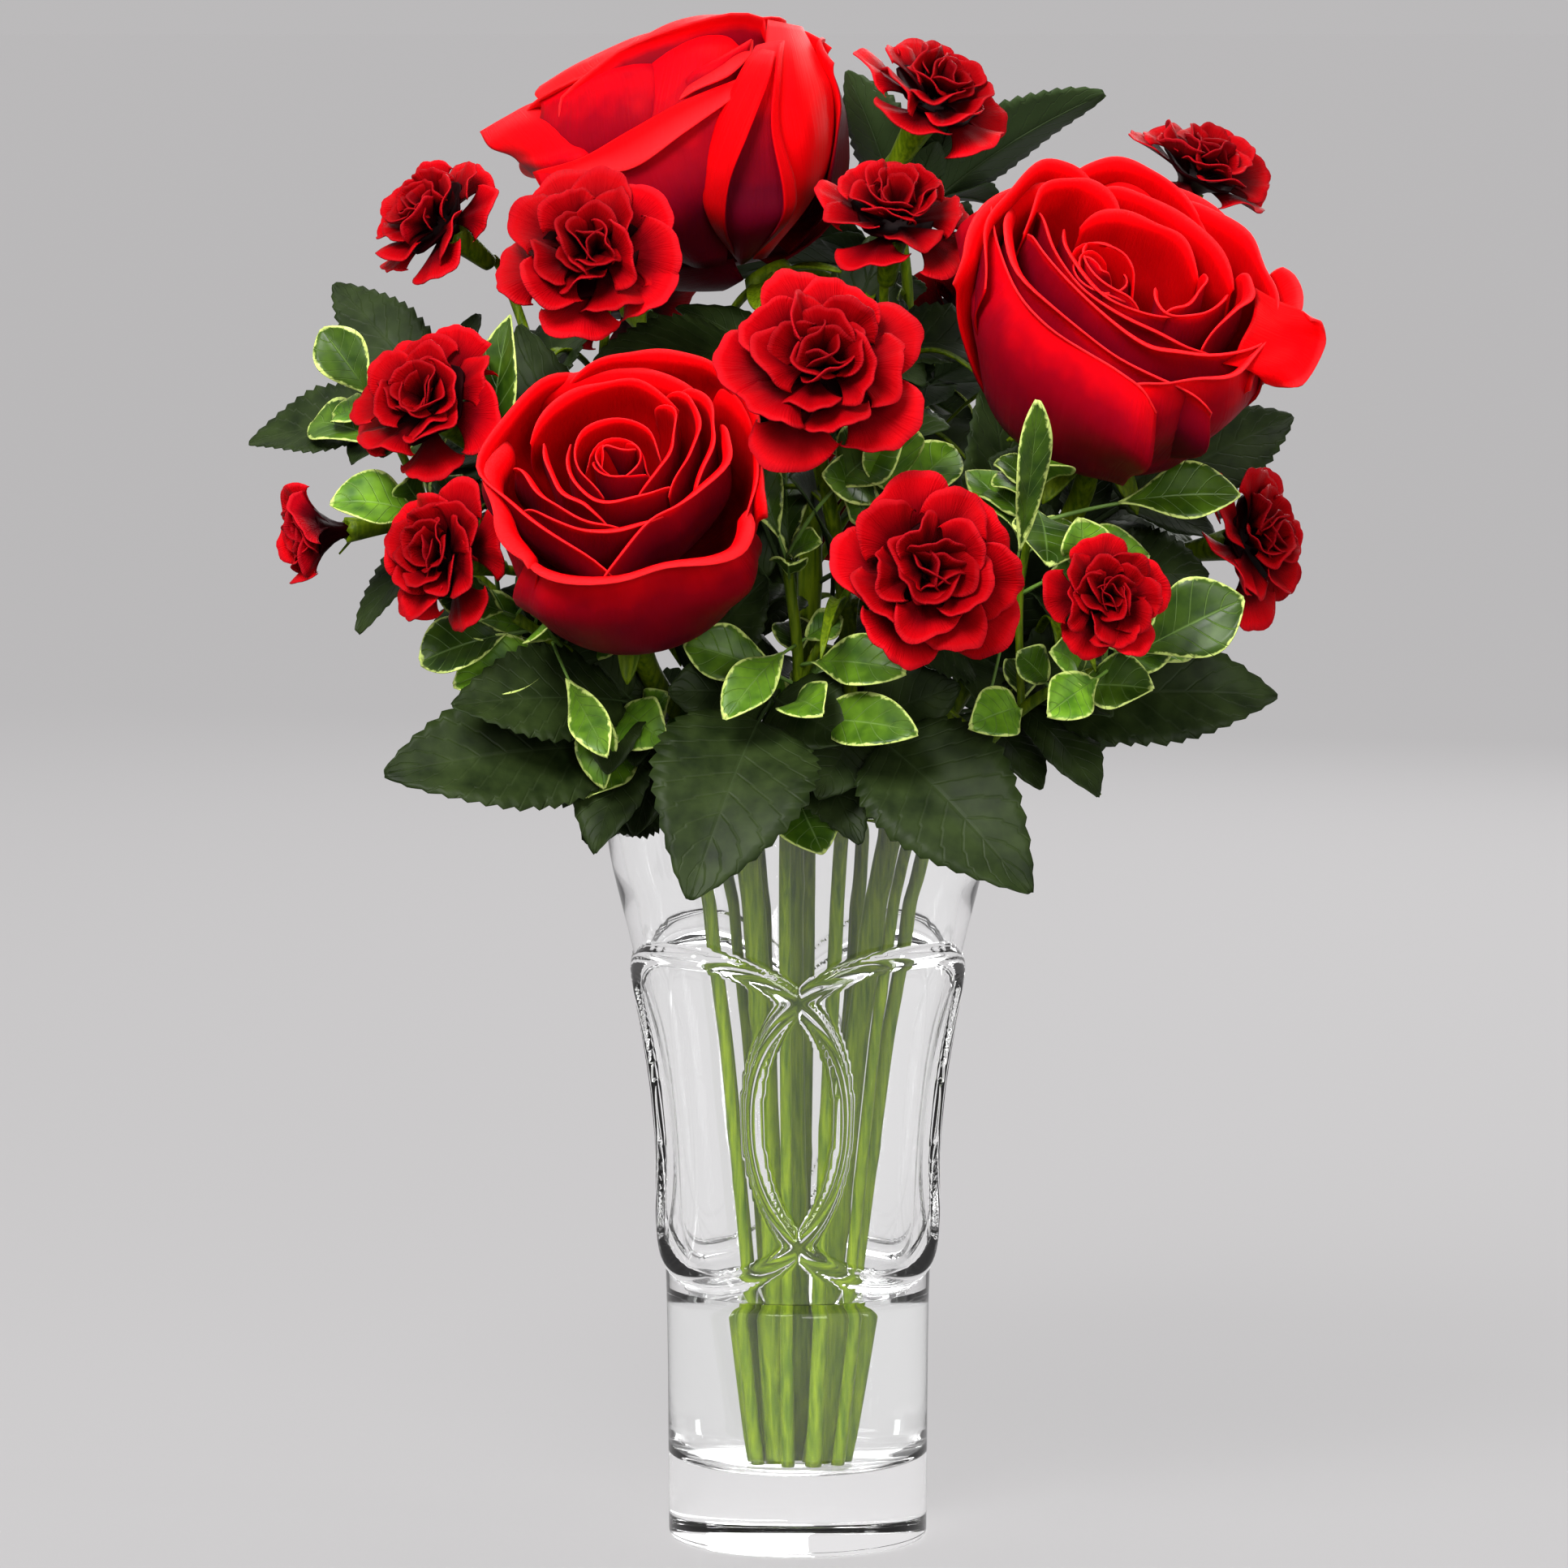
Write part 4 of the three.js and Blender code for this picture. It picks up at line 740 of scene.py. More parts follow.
def vector_of(shader, x, y, z):
    """Three numbers as one vector."""
    node = add(shader, "CombineXYZ")
    for socket, value in zip(node.inputs, (x, y, z)):
        put(shader, value, socket)
    return node.outputs[0]


def bumped(shader, height, distance):
    """A height in the surface that the shader's normal follows."""
    node = add(shader, "Bump")
    node.inputs["Distance"].default_value = distance
    node.inputs["Strength"].default_value = 1.0
    feed(shader, height, node.inputs["Height"])
    feed(shader, node.outputs["Normal"], shader.inputs["Normal"])


print("patterns ready")

# %% [markdown]
# Rose petals are velvety: tiny cones on the skin scatter light at the edges, which the sheen
# gives, and a little light passes into the petal and comes out near by, which is its glow. The
# red is painted deepest at the petal's foot and on its back, as shade deep in the bloom and under
# the rolled rims, and brightest near the rim, where a thin lighter lip is a painted highlight.
# Fine veins fan from foot to rim. A carnation's petal is duller and darker, with stronger veins
# and no glow.


# %% Petal finishes
def petal_finish(name, inner, outer, painted_lip_highlight, vein_depth, glow, darkest):
    """Red from foot to rim, darkest at the foot, which is painted shade of the bloom's depths, and
    deeper on the petal's back, which is painted shade under the rolled rims, with a thin light lip
    that is a painted highlight, clouded a little, and veins that run along the petal."""
    material, shader = new_finish(
        name, Roughness=0.5, Specular_IOR_Level=0.06, Specular_Tint=(1.0, 0.2, 0.2, 1.0),
        Subsurface_Weight=glow, Subsurface_Radius=(1.0, 0.15, 0.1), Subsurface_Scale=3 * MM,
        Sheen_Weight=0.015, Sheen_Roughness=0.35, Sheen_Tint=(1.0, 0.12, 0.16, 1.0))
    along, across, tone = (number(shader, key) for key in ("along", "across", "tone"))
    cloud = noise(shader, 90.0)
    shift = maths(shader, "MULTIPLY", maths(shader, "SUBTRACT", cloud, 0.5), 0.16)
    place = maths(shader, "ADD", along, shift)
    # The face's red: dark at the foot and bright near the rim, which is painted shade of the bloom's
    # depths.
    face = ramp(shader, place, (0.2, inner[0]), (0.6, inner[1]), (0.9, inner[2]))
    # The back's red stays dark until the roll: painted shade under the rolled rims.
    back = ramp(shader, place, (0.45, outer[0]), (0.66, outer[1]), (0.82, outer[2]))
    red = blend(shader, number(shader, "under"), back, face)
    # A thin lighter lip at the very rim: a painted highlight where the roll catches the light.
    edge = ramp(shader, along, (0.9, (0, 0, 0)), (1.0, (1, 1, 1)))
    red = blend(shader, maths(shader, "MULTIPLY", edge, 0.32), red, painted_lip_highlight)
    # A lower tone darkens the whole petal. For carnations the tone is lower on the inner rings and in
    # the bowl, which is painted shade in the heart.
    shade = ramp(shader, tone, (0.0, (darkest, darkest, darkest)), (1.0, (1.0, 1.0, 1.0)))
    feed(shader, blend(shader, 1.0, red, shade, "MULTIPLY"), shader.inputs["Base Color"])
    fan = vector_of(shader, maths(shader, "MULTIPLY", across, 11.0), along, tone)
    veins = noise(shader, 3.2, 3.0, fan)
    height = maths(shader, "ADD", veins, maths(shader, "MULTIPLY", cloud, 0.6))
    bumped(shader, height, vein_depth * MM)
    return material


rose_red = petal_finish(
    "rose_petal",
    inner=((0.08, 0.0003, 0.001), (0.62, 0.0005, 0.002), (0.95, 0.001, 0.003)),
    outer=((0.08, 0.0007, 0.007), (0.26, 0.0007, 0.006), (0.84, 0.001, 0.004)),
    painted_lip_highlight=(1.0, 0.045, 0.055), vein_depth=0.2, glow=0.35, darkest=0.6)
carnation_red = petal_finish(
    "carnation_petal",
    inner=((0.012, 0.0003, 0.001), (0.16, 0.0005, 0.003), (0.56, 0.001, 0.004)),
    outer=((0.02, 0.0005, 0.002), (0.13, 0.0006, 0.004), (0.42, 0.001, 0.006)),
    painted_lip_highlight=(0.75, 0.02, 0.035), vein_depth=0.4, glow=0.0, darkest=0.25)
print("petal finishes:", rose_red.name, carnation_red.name)

# %% [markdown]
# A dark leaf is nearly black green on top and greyer underneath. Its midrib and side veins are
# pressed in and a little lighter. They are drawn from the two numbers along and across: a side
# vein is where the along number, less a share of the distance from the midrib, comes back to
# the same phase. The small leaves are glossy and light green, with an uneven cream margin that
# follows the stored distance from the leaf's edge.


# %% Veins of a leaf
def vein_lines(shader, count, slant, width):
    """1 on the midrib and on the side veins, 0 between them."""
    along, across = number(shader, "along"), number(shader, "across")
    off = maths(shader, "ABSOLUTE", across)
    phase = maths(shader, "SUBTRACT", maths(shader, "MULTIPLY", along, count),
                  maths(shader, "MULTIPLY", off, slant))
    saw = maths(shader, "ABSOLUTE", maths(shader, "SUBTRACT", maths(shader, "FRACT", phase), 0.5))
    side = maths(shader, "SUBTRACT", 1.0, maths(shader, "DIVIDE", saw, width))
    rib = maths(shader, "SUBTRACT", 1.0, maths(shader, "DIVIDE", off, 0.05))
    return maths(shader, "MAXIMUM", maths(shader, "MAXIMUM", side, rib), 0.0)


print("vein helper ready")


# %% Dark leaf
def dark_leaf_finish():
    """Mottled dark green with lighter sunk veins, greyer on the underside."""
    material, shader = new_finish("dark_leaf", Roughness=0.5, Specular_IOR_Level=0.1)
    veins = vein_lines(shader, 9.0, 2.4, 0.09)
    mottle = noise(shader, 140.0, 4.0)
    green = ramp(shader, mottle, (0.3, (0.006, 0.012, 0.002)), (0.7, (0.022, 0.036, 0.008)))
    veined = blend(shader, maths(shader, "MULTIPLY", veins, 0.12), green, (0.055, 0.075, 0.030))
    back = maths(shader, "SUBTRACT", 1.0, number(shader, "under"))
    both = blend(shader, maths(shader, "MULTIPLY", back, 0.8), veined, (0.035, 0.060, 0.020))
    feed(shader, both, shader.inputs["Base Color"])
    height = maths(shader, "SUBTRACT", maths(shader, "MULTIPLY", mottle, 0.5), veins)
    bumped(shader, height, 0.12 * MM)
    return material


dark_leaf = dark_leaf_finish()
print("leaf finish:", dark_leaf.name)


# %% Cream-edged leaf
def edged_leaf_finish():
    """Light green with a cream margin whose inner line wanders."""
    material, shader = new_finish("edged_leaf", Roughness=0.4, Specular_IOR_Level=0.22)
    veins = vein_lines(shader, 7.0, 1.6, 0.06)
    mottle = noise(shader, 160.0, 3.0)
    wander = noise(shader, 420.0, 3.0)
    green = ramp(shader, mottle, (0.3, (0.045, 0.130, 0.006)), (0.7, (0.180, 0.370, 0.018)))
    shade = ramp(shader, number(shader, "tone"), (0.0, (0.13, 0.13, 0.13)), (1.0, (1.0, 1.0, 1.0)))
    green = blend(shader, 1.0, green, shade, "MULTIPLY")
    veined = blend(shader, maths(shader, "MULTIPLY", veins, 0.4), green, (0.22, 0.36, 0.09))
    depth = maths(shader, "ADD", number(shader, "margin"),
                  maths(shader, "MULTIPLY", maths(shader, "SUBTRACT", wander, 0.5), 2.6))
    edge = ramp(shader, depth, (0.3, (1, 1, 1)), (0.8, (0, 0, 0)))
    feed(shader, blend(shader, edge, veined, (0.56, 0.68, 0.18)), shader.inputs["Base Color"])
    height = maths(shader, "SUBTRACT", maths(shader, "MULTIPLY", mottle, 0.4), veins)
    bumped(shader, height, 0.2 * MM)
    return material


edged_leaf = edged_leaf_finish()
print("leaf finish:", edged_leaf.name)

# %% [markdown]
# A fresh stem is a clear yellow green with darker and lighter streaks along it and small warts.


# %% Stem finish
def stem_finish():
    """Green streaks stretched along the vertical, with a fine bump."""
    material, shader = new_finish("stem_green", Roughness=0.45, Specular_IOR_Level=0.1)
    place = add(shader, "Mapping")
    place.inputs["Scale"].default_value = (1.0, 1.0, 0.08)
    feed(shader, add(shader, "TexCoord").outputs["Object"], place.inputs["Vector"])
    streak = noise(shader, 900.0, 3.0, place.outputs[0])
    green = ramp(shader, streak, (0.3, (0.036, 0.074, 0.001)), (0.7, (0.138, 0.196, 0.004)))
    feed(shader, green, shader.inputs["Base Color"])
    bumped(shader, maths(shader, "ADD", streak, noise(shader, 1500.0)), 0.12 * MM)
    return material


stem_green = stem_finish()
print("stem finish:", stem_green.name)

# %% [markdown]
# ## Vase
# The vase is pressed glass: a solid foot, a wall that flares towards a thin rim, and loops
# raised on the body where four rounded rings cross. It could be a turned profile with tubes
# added, but glass bends whatever is seen through it, so creases would show. One skin is better:
# the outline is turned, and the loops are a smooth swelling of the outer radius.

# %% Vase outline
VASE_OUTSIDE = [(33, 0), (34.7, 2), (35.6, 75), (40.1, 130), (43.1, 154), (49.7, 182), (51.8, 196)]
VASE_INSIDE = [(49.2, 196), (46.6, 182), (40, 154), (30.5, 75), (27.5, 26)]
LOOP_COUNT, LOOP_HALF_HEIGHT, LOOP_MIDDLE = 4, 44.0, 117.0
LOOP_HALF_ANGLE, LOOP_FULLNESS = np.radians(63), 0.9
BAND_RISE, BAND_HALF_WIDTH = 2.0, 2.6
VASE_SIDES = 280


def outer_radius(height):
    """Radius of the outside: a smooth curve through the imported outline's corners."""
    radii, heights = np.array(VASE_OUTSIDE[1:], float).T
    middle = smooth_line(np.column_stack([heights, radii]), np.linspace(0, 1, 400))
    return np.interp(height, middle[:, 0], middle[:, 1])


def loop_rise(angle, height):
    """How far the loops stand out. A ring bent round the wall is a circle in two stretched
    coordinates, so the distance from it is the stretched radius less one, and the rise is a
    rounded ridge of that distance."""
    rise = np.zeros(np.broadcast(angle, height).shape)
    y = (height - LOOP_MIDDLE) / LOOP_HALF_HEIGHT
    y = np.sign(y) * np.abs(y) ** (1 / LOOP_FULLNESS)
    for k in range(LOOP_COUNT):
        turn = (angle - (k + 0.5) * 2 * np.pi / LOOP_COUNT + np.pi) % (2 * np.pi) - np.pi
        x = np.sign(turn) * np.abs(turn / LOOP_HALF_ANGLE) ** (1 / LOOP_FULLNESS)
        off = np.abs(np.hypot(x, y) - 1) * LOOP_HALF_HEIGHT / BAND_HALF_WIDTH
        ridge = BAND_RISE * np.sqrt(np.clip(1 - off ** 2, 0, 1))
        rise = np.maximum(rise, ridge)
    return rise


print("radius at the loops' middle:", round(float(outer_radius(LOOP_MIDDLE)), 1), "mm")


# %% Vase body
def vase_body():
    """Rows of rings: across the underside, up the outside with its loops, over the rim, down
    the inside, and across the floor, each ring a circle of the outline's radius."""
    turn = full_turn(VASE_SIDES)
    up = np.concatenate([
        np.linspace(2.2, 64, 10), np.linspace(65, 165, 130), np.linspace(166, 196.5, 11)])
    bottom = np.array([(8, 0.55), (20, 0.45), (27, 0.25), (30, 0.02), (32, 0), (33.1, 0.1),
                       (34.0, 0.55), (34.55, 1.25)])
    outside = np.column_stack([outer_radius(up), up])
    rim = np.array([(51.95, 198.1), (51.9, 199), (51.55, 199.65), (51.0, 199.95), (50.4, 199.7),
                    (49.9, 199.0), (49.6, 197.8)])
    inner = smooth_line(np.array(VASE_INSIDE, float), np.linspace(0, 1, 40))
    floor = np.array([(26.6, 23.6), (25.2, 22.1), (23.2, 21.2), (20, 20.6), (15, 20.2), (8, 20.05)])
    outline = np.vstack([bottom, outside, rim, inner, floor])
    first, last = len(bottom), len(bottom) + len(up)
    radius = np.repeat(outline[:, :1], VASE_SIDES, axis=1)
    radius[first:last] += loop_rise(turn[None], up[:, None])
    skin = turned_skin(radius, outline[:, 1:], turn)
    return close_rings(skin, {"along": np.linspace(0, 1, len(outline))})


print("rings of the vase:", len(vase_body()[0]) // VASE_SIDES)

# %% [markdown]
# Glass is clear, smooth and bends light. A renderer's lamps would be blocked by it, and the
# stems inside would stay dark, so rays from the lamps go straight through.


# %% Clear glass
def lets_lamps_through(shader):
    """Rays from the lamps pass straight through the glass, so that the stems inside are lit."""
    path, clear = add(shader, "LightPath"), add(shader, "BsdfTransparent")
    both = add(shader, "MixShader")
    feed(shader, path.outputs["Is Shadow Ray"], both.inputs[0])
    feed(shader, shader.outputs[0], both.inputs[1])
    feed(shader, clear.outputs[0], both.inputs[2])
    feed(shader, both.outputs[0], surface_of(shader))


glass, shader = new_finish("clear_glass", Base_Color=(0.985, 0.99, 0.99, 1), Roughness=0.0,
                           IOR=1.5, Specular_IOR_Level=0.5, Transmission_Weight=1.0)
lets_lamps_through(shader)
make_piece("vase_glass", [vase_body()], glass, "glass", "vase")

# %% [markdown]
# Water stands a third of the way up. Its side lies a hair inside the glass wall's skin, so that
# light passes from glass to water with no film of air between, and its top climbs a little
# where it meets the wall.


# %% Water
WATER_LEVEL = 67.0
WATER_LAP = 0.15
WATER_SIDES = 96


def water_body():
    """The vase's inside outline, a lap wider, up to the water level, then the flat surface with
    its edge raised."""
    inner = smooth_line(np.array(VASE_INSIDE, float), np.linspace(0, 1, 200))[::-1]
    wall = inner[inner[:, 1] < WATER_LEVEL + 1.2][::4] + [WATER_LAP, 0]
    floor = np.array([(8, 19.9), (15, 20.05), (20, 20.45), (23.2, 21.05), (25.25, 22.0),
                      (26.7, 23.5)])
    edge = wall[-1]
    surface = np.array([(edge[0] - 0.9, edge[1] - 0.75), (edge[0] - 2.2, WATER_LEVEL + 0.12),
                        (edge[0] - 4.5, WATER_LEVEL), (15, WATER_LEVEL), (5, WATER_LEVEL)])
    outline = np.vstack([floor, wall, surface])
    skin = turned_skin(outline[:, :1], outline[:, 1:], full_turn(WATER_SIDES))
    return close_rings(skin, {"along": np.linspace(0, 1, len(outline))})


clear_water, shader = new_finish("clear_water", Base_Color=(0.985, 0.99, 0.985, 1), Roughness=0.0,
                                 IOR=1.33, Transmission_Weight=1.0)
lets_lamps_through(shader)
make_piece("water_body", [water_body()], clear_water, "water", "water")

# %% [markdown]
# ## Roses
# A rose is petals on petals. The lower part of a petal is a cup, and its rim rolls outwards,
# which gives a rose its bright lips over dark backs: the roll catches the light, and the backs
# are darker both from real shade and from painted shade in the petal's colour, with a painted
# highlight on the lip. A ring of equal petals could be turned round the middle, and the hidden
# sides are made so, but a real bloom seen close is never regular. So there are three kinds of
# petal here. One is a profile carried round a part of a circle, for the outer petals at the back
# and for the rings of a heart. One hangs from its own rim, a line through a few points, for
# blooms that open towards the viewer. One is drawn through a net of points, where a petal is
# folded or hangs out.

# %% One rose petal
OUTER_PROFILE = [(6, 3), (24, 8), (33, 24), (36, 40.5)]
PETAL_FOOT = 0.25
CUP_SHARE = 0.66
FOLD_FROM = 0.6
ANY_PHASE = (0, 6.28)


def eased(x):
    """0 up to 0, 1 from 1 on, and a smooth climb between: three squares less two cubes."""
    x = np.clip(x, 0, 1)
    return x * x * (3 - 2 * x)


def rose_petal(shape, draw):
    """Up to the cup share of its rows a point is on the profile, which ends lower at the sides.
    Past it the point goes round an arc of the roll's radius, outwards, by the roll's angle. The
    sides go round a second, upright arc of the fold's radius. Skew times u and a wave push it
    along the outward normal, and reach stretches the middle of the rim."""
    rows, columns = shape["size"]
    t = np.linspace(0, 1, rows)[:, None]
    u = np.linspace(-1, 1, columns)[None]
    phase, beat, sway = draw.uniform(*ANY_PHASE, 3)
    curve = np.array(shape["profile"], float)
    top = (1 - shape["drop"] * np.abs(u) ** 2.2 + 0.03 * np.exp(-((u + 0.1) / 0.2) ** 2)
           + 0.018 * np.sin(5 * u + phase) + 0.02 * np.sin(2.3 * u + sway))
    v = (1 - (1 - np.minimum(t / CUP_SHARE, 1)) ** 1.2) * np.minimum(top, 1)
    at = smooth_line(curve, v, clamped=True)
    slope = unit(smooth_line(curve, np.minimum(v + 0.01, 1), clamped=True)
                 - smooth_line(curve, np.maximum(v - 0.01, 0), clamped=True))
    radius_of_roll, angle_of_roll = shape["roll"]
    bend = np.clip((t - CUP_SHARE) / (1 - CUP_SHARE), 0, 1) * np.radians(angle_of_roll) * (
        1 - 0.4 * u ** 2 + 0.22 * np.sin(3.3 * u + beat))
    start = np.arctan2(slope[..., 1], slope[..., 0])
    out = radius_of_roll * (np.sin(start) - np.sin(start - bend))
    up = radius_of_roll * (np.cos(start - bend) - np.cos(start))
    push = shape["skew"] * u + shape["wave"] * t ** 2 * np.sin(4.1 * u + phase)
    fold_radius, fold_angle = shape["fold"]
    width = np.radians(shape["half"]) * curve[-1, 0]
    turn = np.clip(np.abs(u) - FOLD_FROM, 0, 1) / (1 - FOLD_FROM) * np.radians(fold_angle)
    turn = turn * eased((t - 0.1) / 0.5)
    plain = (1 - FOLD_FROM) * turn / np.radians(fold_angle)
    across = np.sign(u) * (np.abs(u) - plain + fold_radius * np.sin(turn) / width)
    push = push + fold_radius * (1 - np.cos(turn))
    stretch = 1 + shape["reach"] * t ** 3 * (1 - u ** 2)
    radius = (at[..., 0] + out + slope[..., 1] * push) * stretch
    height = at[..., 1] + up - slope[..., 0] * push
    angle = shape["middle"] + np.radians(shape["half"]) * across * np.minimum(1, PETAL_FOOT + 2 * v)
    points = np.stack([radius * np.cos(angle), radius * np.sin(angle), height], axis=-1)
    return thin_sheet(points, shape["thickness"], along=t + 0 * u, across=u + 0 * t,
                      tone=draw.uniform(*shape["tone"]))


print("half way up, the eased climb is", eased(0.5))

# %% [markdown]
# A petal that opens towards the viewer is known by its rolled lip, so it is hung from that
# line. The rest of it can't be seen, and only has to come together at the bloom's foot.

# %% A petal hung from its rim
RIM_SHARE = 0.72
END_DROP = 7.0
OUTER_FROM = 1.05
OUTER_END_DROP = 1.5


def rim_petal(rim, roll, belly, body, size, draw):
    """A smooth curve through the given points is the top of the petal's roll. Below it, each
    point's distance from the bloom's middle line and its height go down together to the foot,
    after a swelling by the belly. An outer petal's lower part lies on a circle of the body's
    radius, so that the bloom is round underneath. Above the line, the rim goes round the roll's
    arc, away from the middle, and less so at its ends, which drop away."""
    rows, columns = size
    t = np.linspace(0, 1, rows)[:, None]
    u = np.linspace(-1, 1, columns)
    edge = smooth_line(rim, (u + 1) / 2)
    outer = belly > OUTER_FROM
    edge[:, 2] -= (OUTER_END_DROP if outer else END_DROP) * np.abs(u) ** 5
    way = unit(np.gradient(edge[:, :2], axis=0))
    outward = np.stack([way[:, 1], -way[:, 0]], axis=1)
    phase, beat = draw.uniform(*ANY_PHASE, 2)
    arc, sweep = roll
    bend = np.radians(sweep) * (1 - 0.5 * u ** 4) * (1 + 0.2 * np.sin(3.1 * u + beat))
    top = np.minimum(bend, np.pi / 2)
    start = edge[:, :2] - outward * (arc * (1 - np.cos(top)))[:, None]
    height = edge[:, 2] - arc * np.sin(top)
    v = 1 - (1 - np.minimum(t[:, 0] / RIM_SHARE, 1)) ** 1.25
    round_foot = [(0.12, 0.03), (0.8 * belly, 0.12), (belly, 0.3)]
    plain_foot = [(0.28, 0.14), (0.7, 0.38)]
    foot = round_foot if outer else plain_foot
    curve = smooth_line([*foot, (belly, 0.72), (1, 1)], v, clamped=True)
    level = height * curve[:, 1:]
    share = eased((curve[:, 1:] - 0.25) / 0.5) if outer else 1.0
    reach = body * (1 - share) + np.linalg.norm(start, axis=1) * share
    flat = unit(start) * (reach * curve[:, :1])[..., None]
    turn = np.clip((t - RIM_SHARE) / (1 - RIM_SHARE), 0, 1) * bend
    ripple = 0.5 * t ** 2 * np.sin(4.3 * u + phase) + 0.3 * t ** 3 * np.sin(9 * u + beat)
    flat = flat + outward * (arc * (1 - np.cos(turn)) + ripple)[..., None]
    level = level + arc * np.sin(turn)
    points = np.concatenate([flat, level[..., None]], axis=-1)
    along = t ** 0.65 if outer else t
    return thin_sheet(points, 0.45, along=along + 0 * u, across=u + 0 * t,
                      tone=draw.uniform(0.55, 1))


print("a petal counts as an outer one from a belly of", OUTER_FROM)


# %% A petal drawn through points
def drawn_petal(start, net, size):
    """A sheet through a net of points: a smooth line up each column, then one across each row.
    Start says how far up the petal's colours its first row is."""
    rows, columns = size
    net = np.array(net, float)
    high = smooth_line(net.reshape(len(net), -1), np.linspace(0, 1, rows))
    wide = high.reshape(rows, -1, 3).transpose(1, 0, 2).reshape(net.shape[1], -1)
    points = smooth_line(wide, np.linspace(0, 1, columns))
    points = points.reshape(columns, rows, 3).transpose(1, 0, 2)
    v, u = np.linspace(0, 1, rows)[:, None], np.linspace(-1, 1, columns)[None]
    along = start + (1 - start) * v
    return thin_sheet(points, 0.6, along=along + 0 * u, across=u + 0 * v, tone=0.95)


flat_net = [[(0, 0, 0), (2, 0, 0)], [(0, 0, 2), (2, 0, 2)]]
print("corners of a drawn petal of 5 by 5 points:", len(drawn_petal(0.0, flat_net, (5, 5))[0]))

# %% [markdown]
# Rings of petals fill the inside of a rose, narrower, lower and less rolled towards the middle.
# A bloom with rims of its own keeps only the rings of its heart.

# %% The layers of a rose
def layer(petals, turn, half, rim, roll, skew, drop):
    """A ring of petals as named values."""
    return {"petals": petals, "turn": turn, "half": half, "rim": rim, "roll": roll,
            "skew": skew, "drop": drop}


ROSE_LAYERS = [
    layer(3, 30, 80, (31.0, 50.0), (3.4, 62), 2.4, 0.26),
    layer(3, 95, 78, (28.6, 50.0), (3.2, 58), 2.2, 0.30),
    layer(3, 50, 84, (24.4, 49.6), (2.8, 54), 2.4, 0.36),
    layer(3, 110, 84, (22.4, 48.8), (2.6, 50), 2.2, 0.38),
    layer(3, 20, 86, (18.4, 47.8), (2.2, 44), 2.4, 0.40),
    layer(3, 75, 86, (16.2, 46.8), (1.9, 40), 2.0, 0.40),
    layer(3, 40, 88, (13.0, 45.6), (1.6, 36), 2.0, 0.40),
    layer(2, 130, 118, (10.6, 44.6), (1.4, 32), 1.8, 0.36),
    layer(2, 60, 122, (8.0, 43.6), (1.1, 28), 1.7, 0.34),
    layer(2, 150, 124, (6.0, 42.8), (0.9, 24), 1.4, 0.30),
    layer(2, 80, 128, (4.0, 42.0), (0.7, 20), 1.1, 0.24),
    layer(1, 20, 172, (2.1, 41.4), (0.5, 15), 0.5, 0.1),
]
WIDEST_RIM = 37.0
HEART = (5.0, 9.0)
print("petals in all the rings:", sum(ring["petals"] for ring in ROSE_LAYERS))

# %% Petals of the outside and of the rings
OUTER_GRID, RING_GRID, RIM_GRID, DRAWN_GRID = (29, 31), (22, 21), (24, 31), (27, 27)
OUTER_FOLD = (4.5, 60)
OUTER_STEP = 72


def cup_profile(radius, height):
    """A cupped profile from the bloom's foot to the place where the rim starts to roll."""
    return [(0.42 * radius, 9), (0.80 * radius, 20), (0.98 * radius, 34), (radius, height)]


def outer_petal(rose, k, place, draw):
    """A petal of the ring of five round the bloom, shifted from its even place."""
    shift, half, arc, sweep, reach = place
    return rose_petal({
        "profile": OUTER_PROFILE, "middle": np.radians(OUTER_STEP * k + shift), "half": half,
        "skew": rose["skew"], "roll": (arc, sweep), "fold": OUTER_FOLD,
        "wave": draw.uniform(0.8, 1.6), "reach": reach, "drop": 0.16, "tone": (0.6, 1),
        "size": OUTER_GRID, "thickness": 0.65}, draw)


def ring_petal(rose, ring, k, draw):
    """A petal of a ring, a little off its even place. It leans off the bloom's axis, the more
    the nearer its ring is to the middle and the higher up."""
    radius, height = ring["rim"]
    rim = (radius + draw.uniform(-0.7, 0.7), height + draw.uniform(-2.0, 1.6))
    middle = ring["turn"] + 360 * k / ring["petals"] + draw.uniform(-12, 12)
    arc, sweep = ring["roll"]
    points, faces, values = rose_petal({
        "profile": cup_profile(*rim), "middle": np.radians(middle), "half": ring["half"],
        "skew": ring["skew"] * np.sign(rose["skew"]),
        "roll": (arc, sweep * draw.uniform(0.6, 1.4)),
        "fold": (1.0 + 0.06 * radius, draw.uniform(20, 110)),
        "wave": 0.1 * radius, "reach": 0, "drop": ring["drop"], "tone": (0.3, 1),
        "size": RING_GRID, "thickness": 0.45}, draw)
    lean = np.array([*rose["heart"], 0]) * (1 - radius / WIDEST_RIM)
    return points + lean * points[:, 2:] / height, faces, values


print("profile of the widest ring:", cup_profile(*ROSE_LAYERS[0]["rim"]))


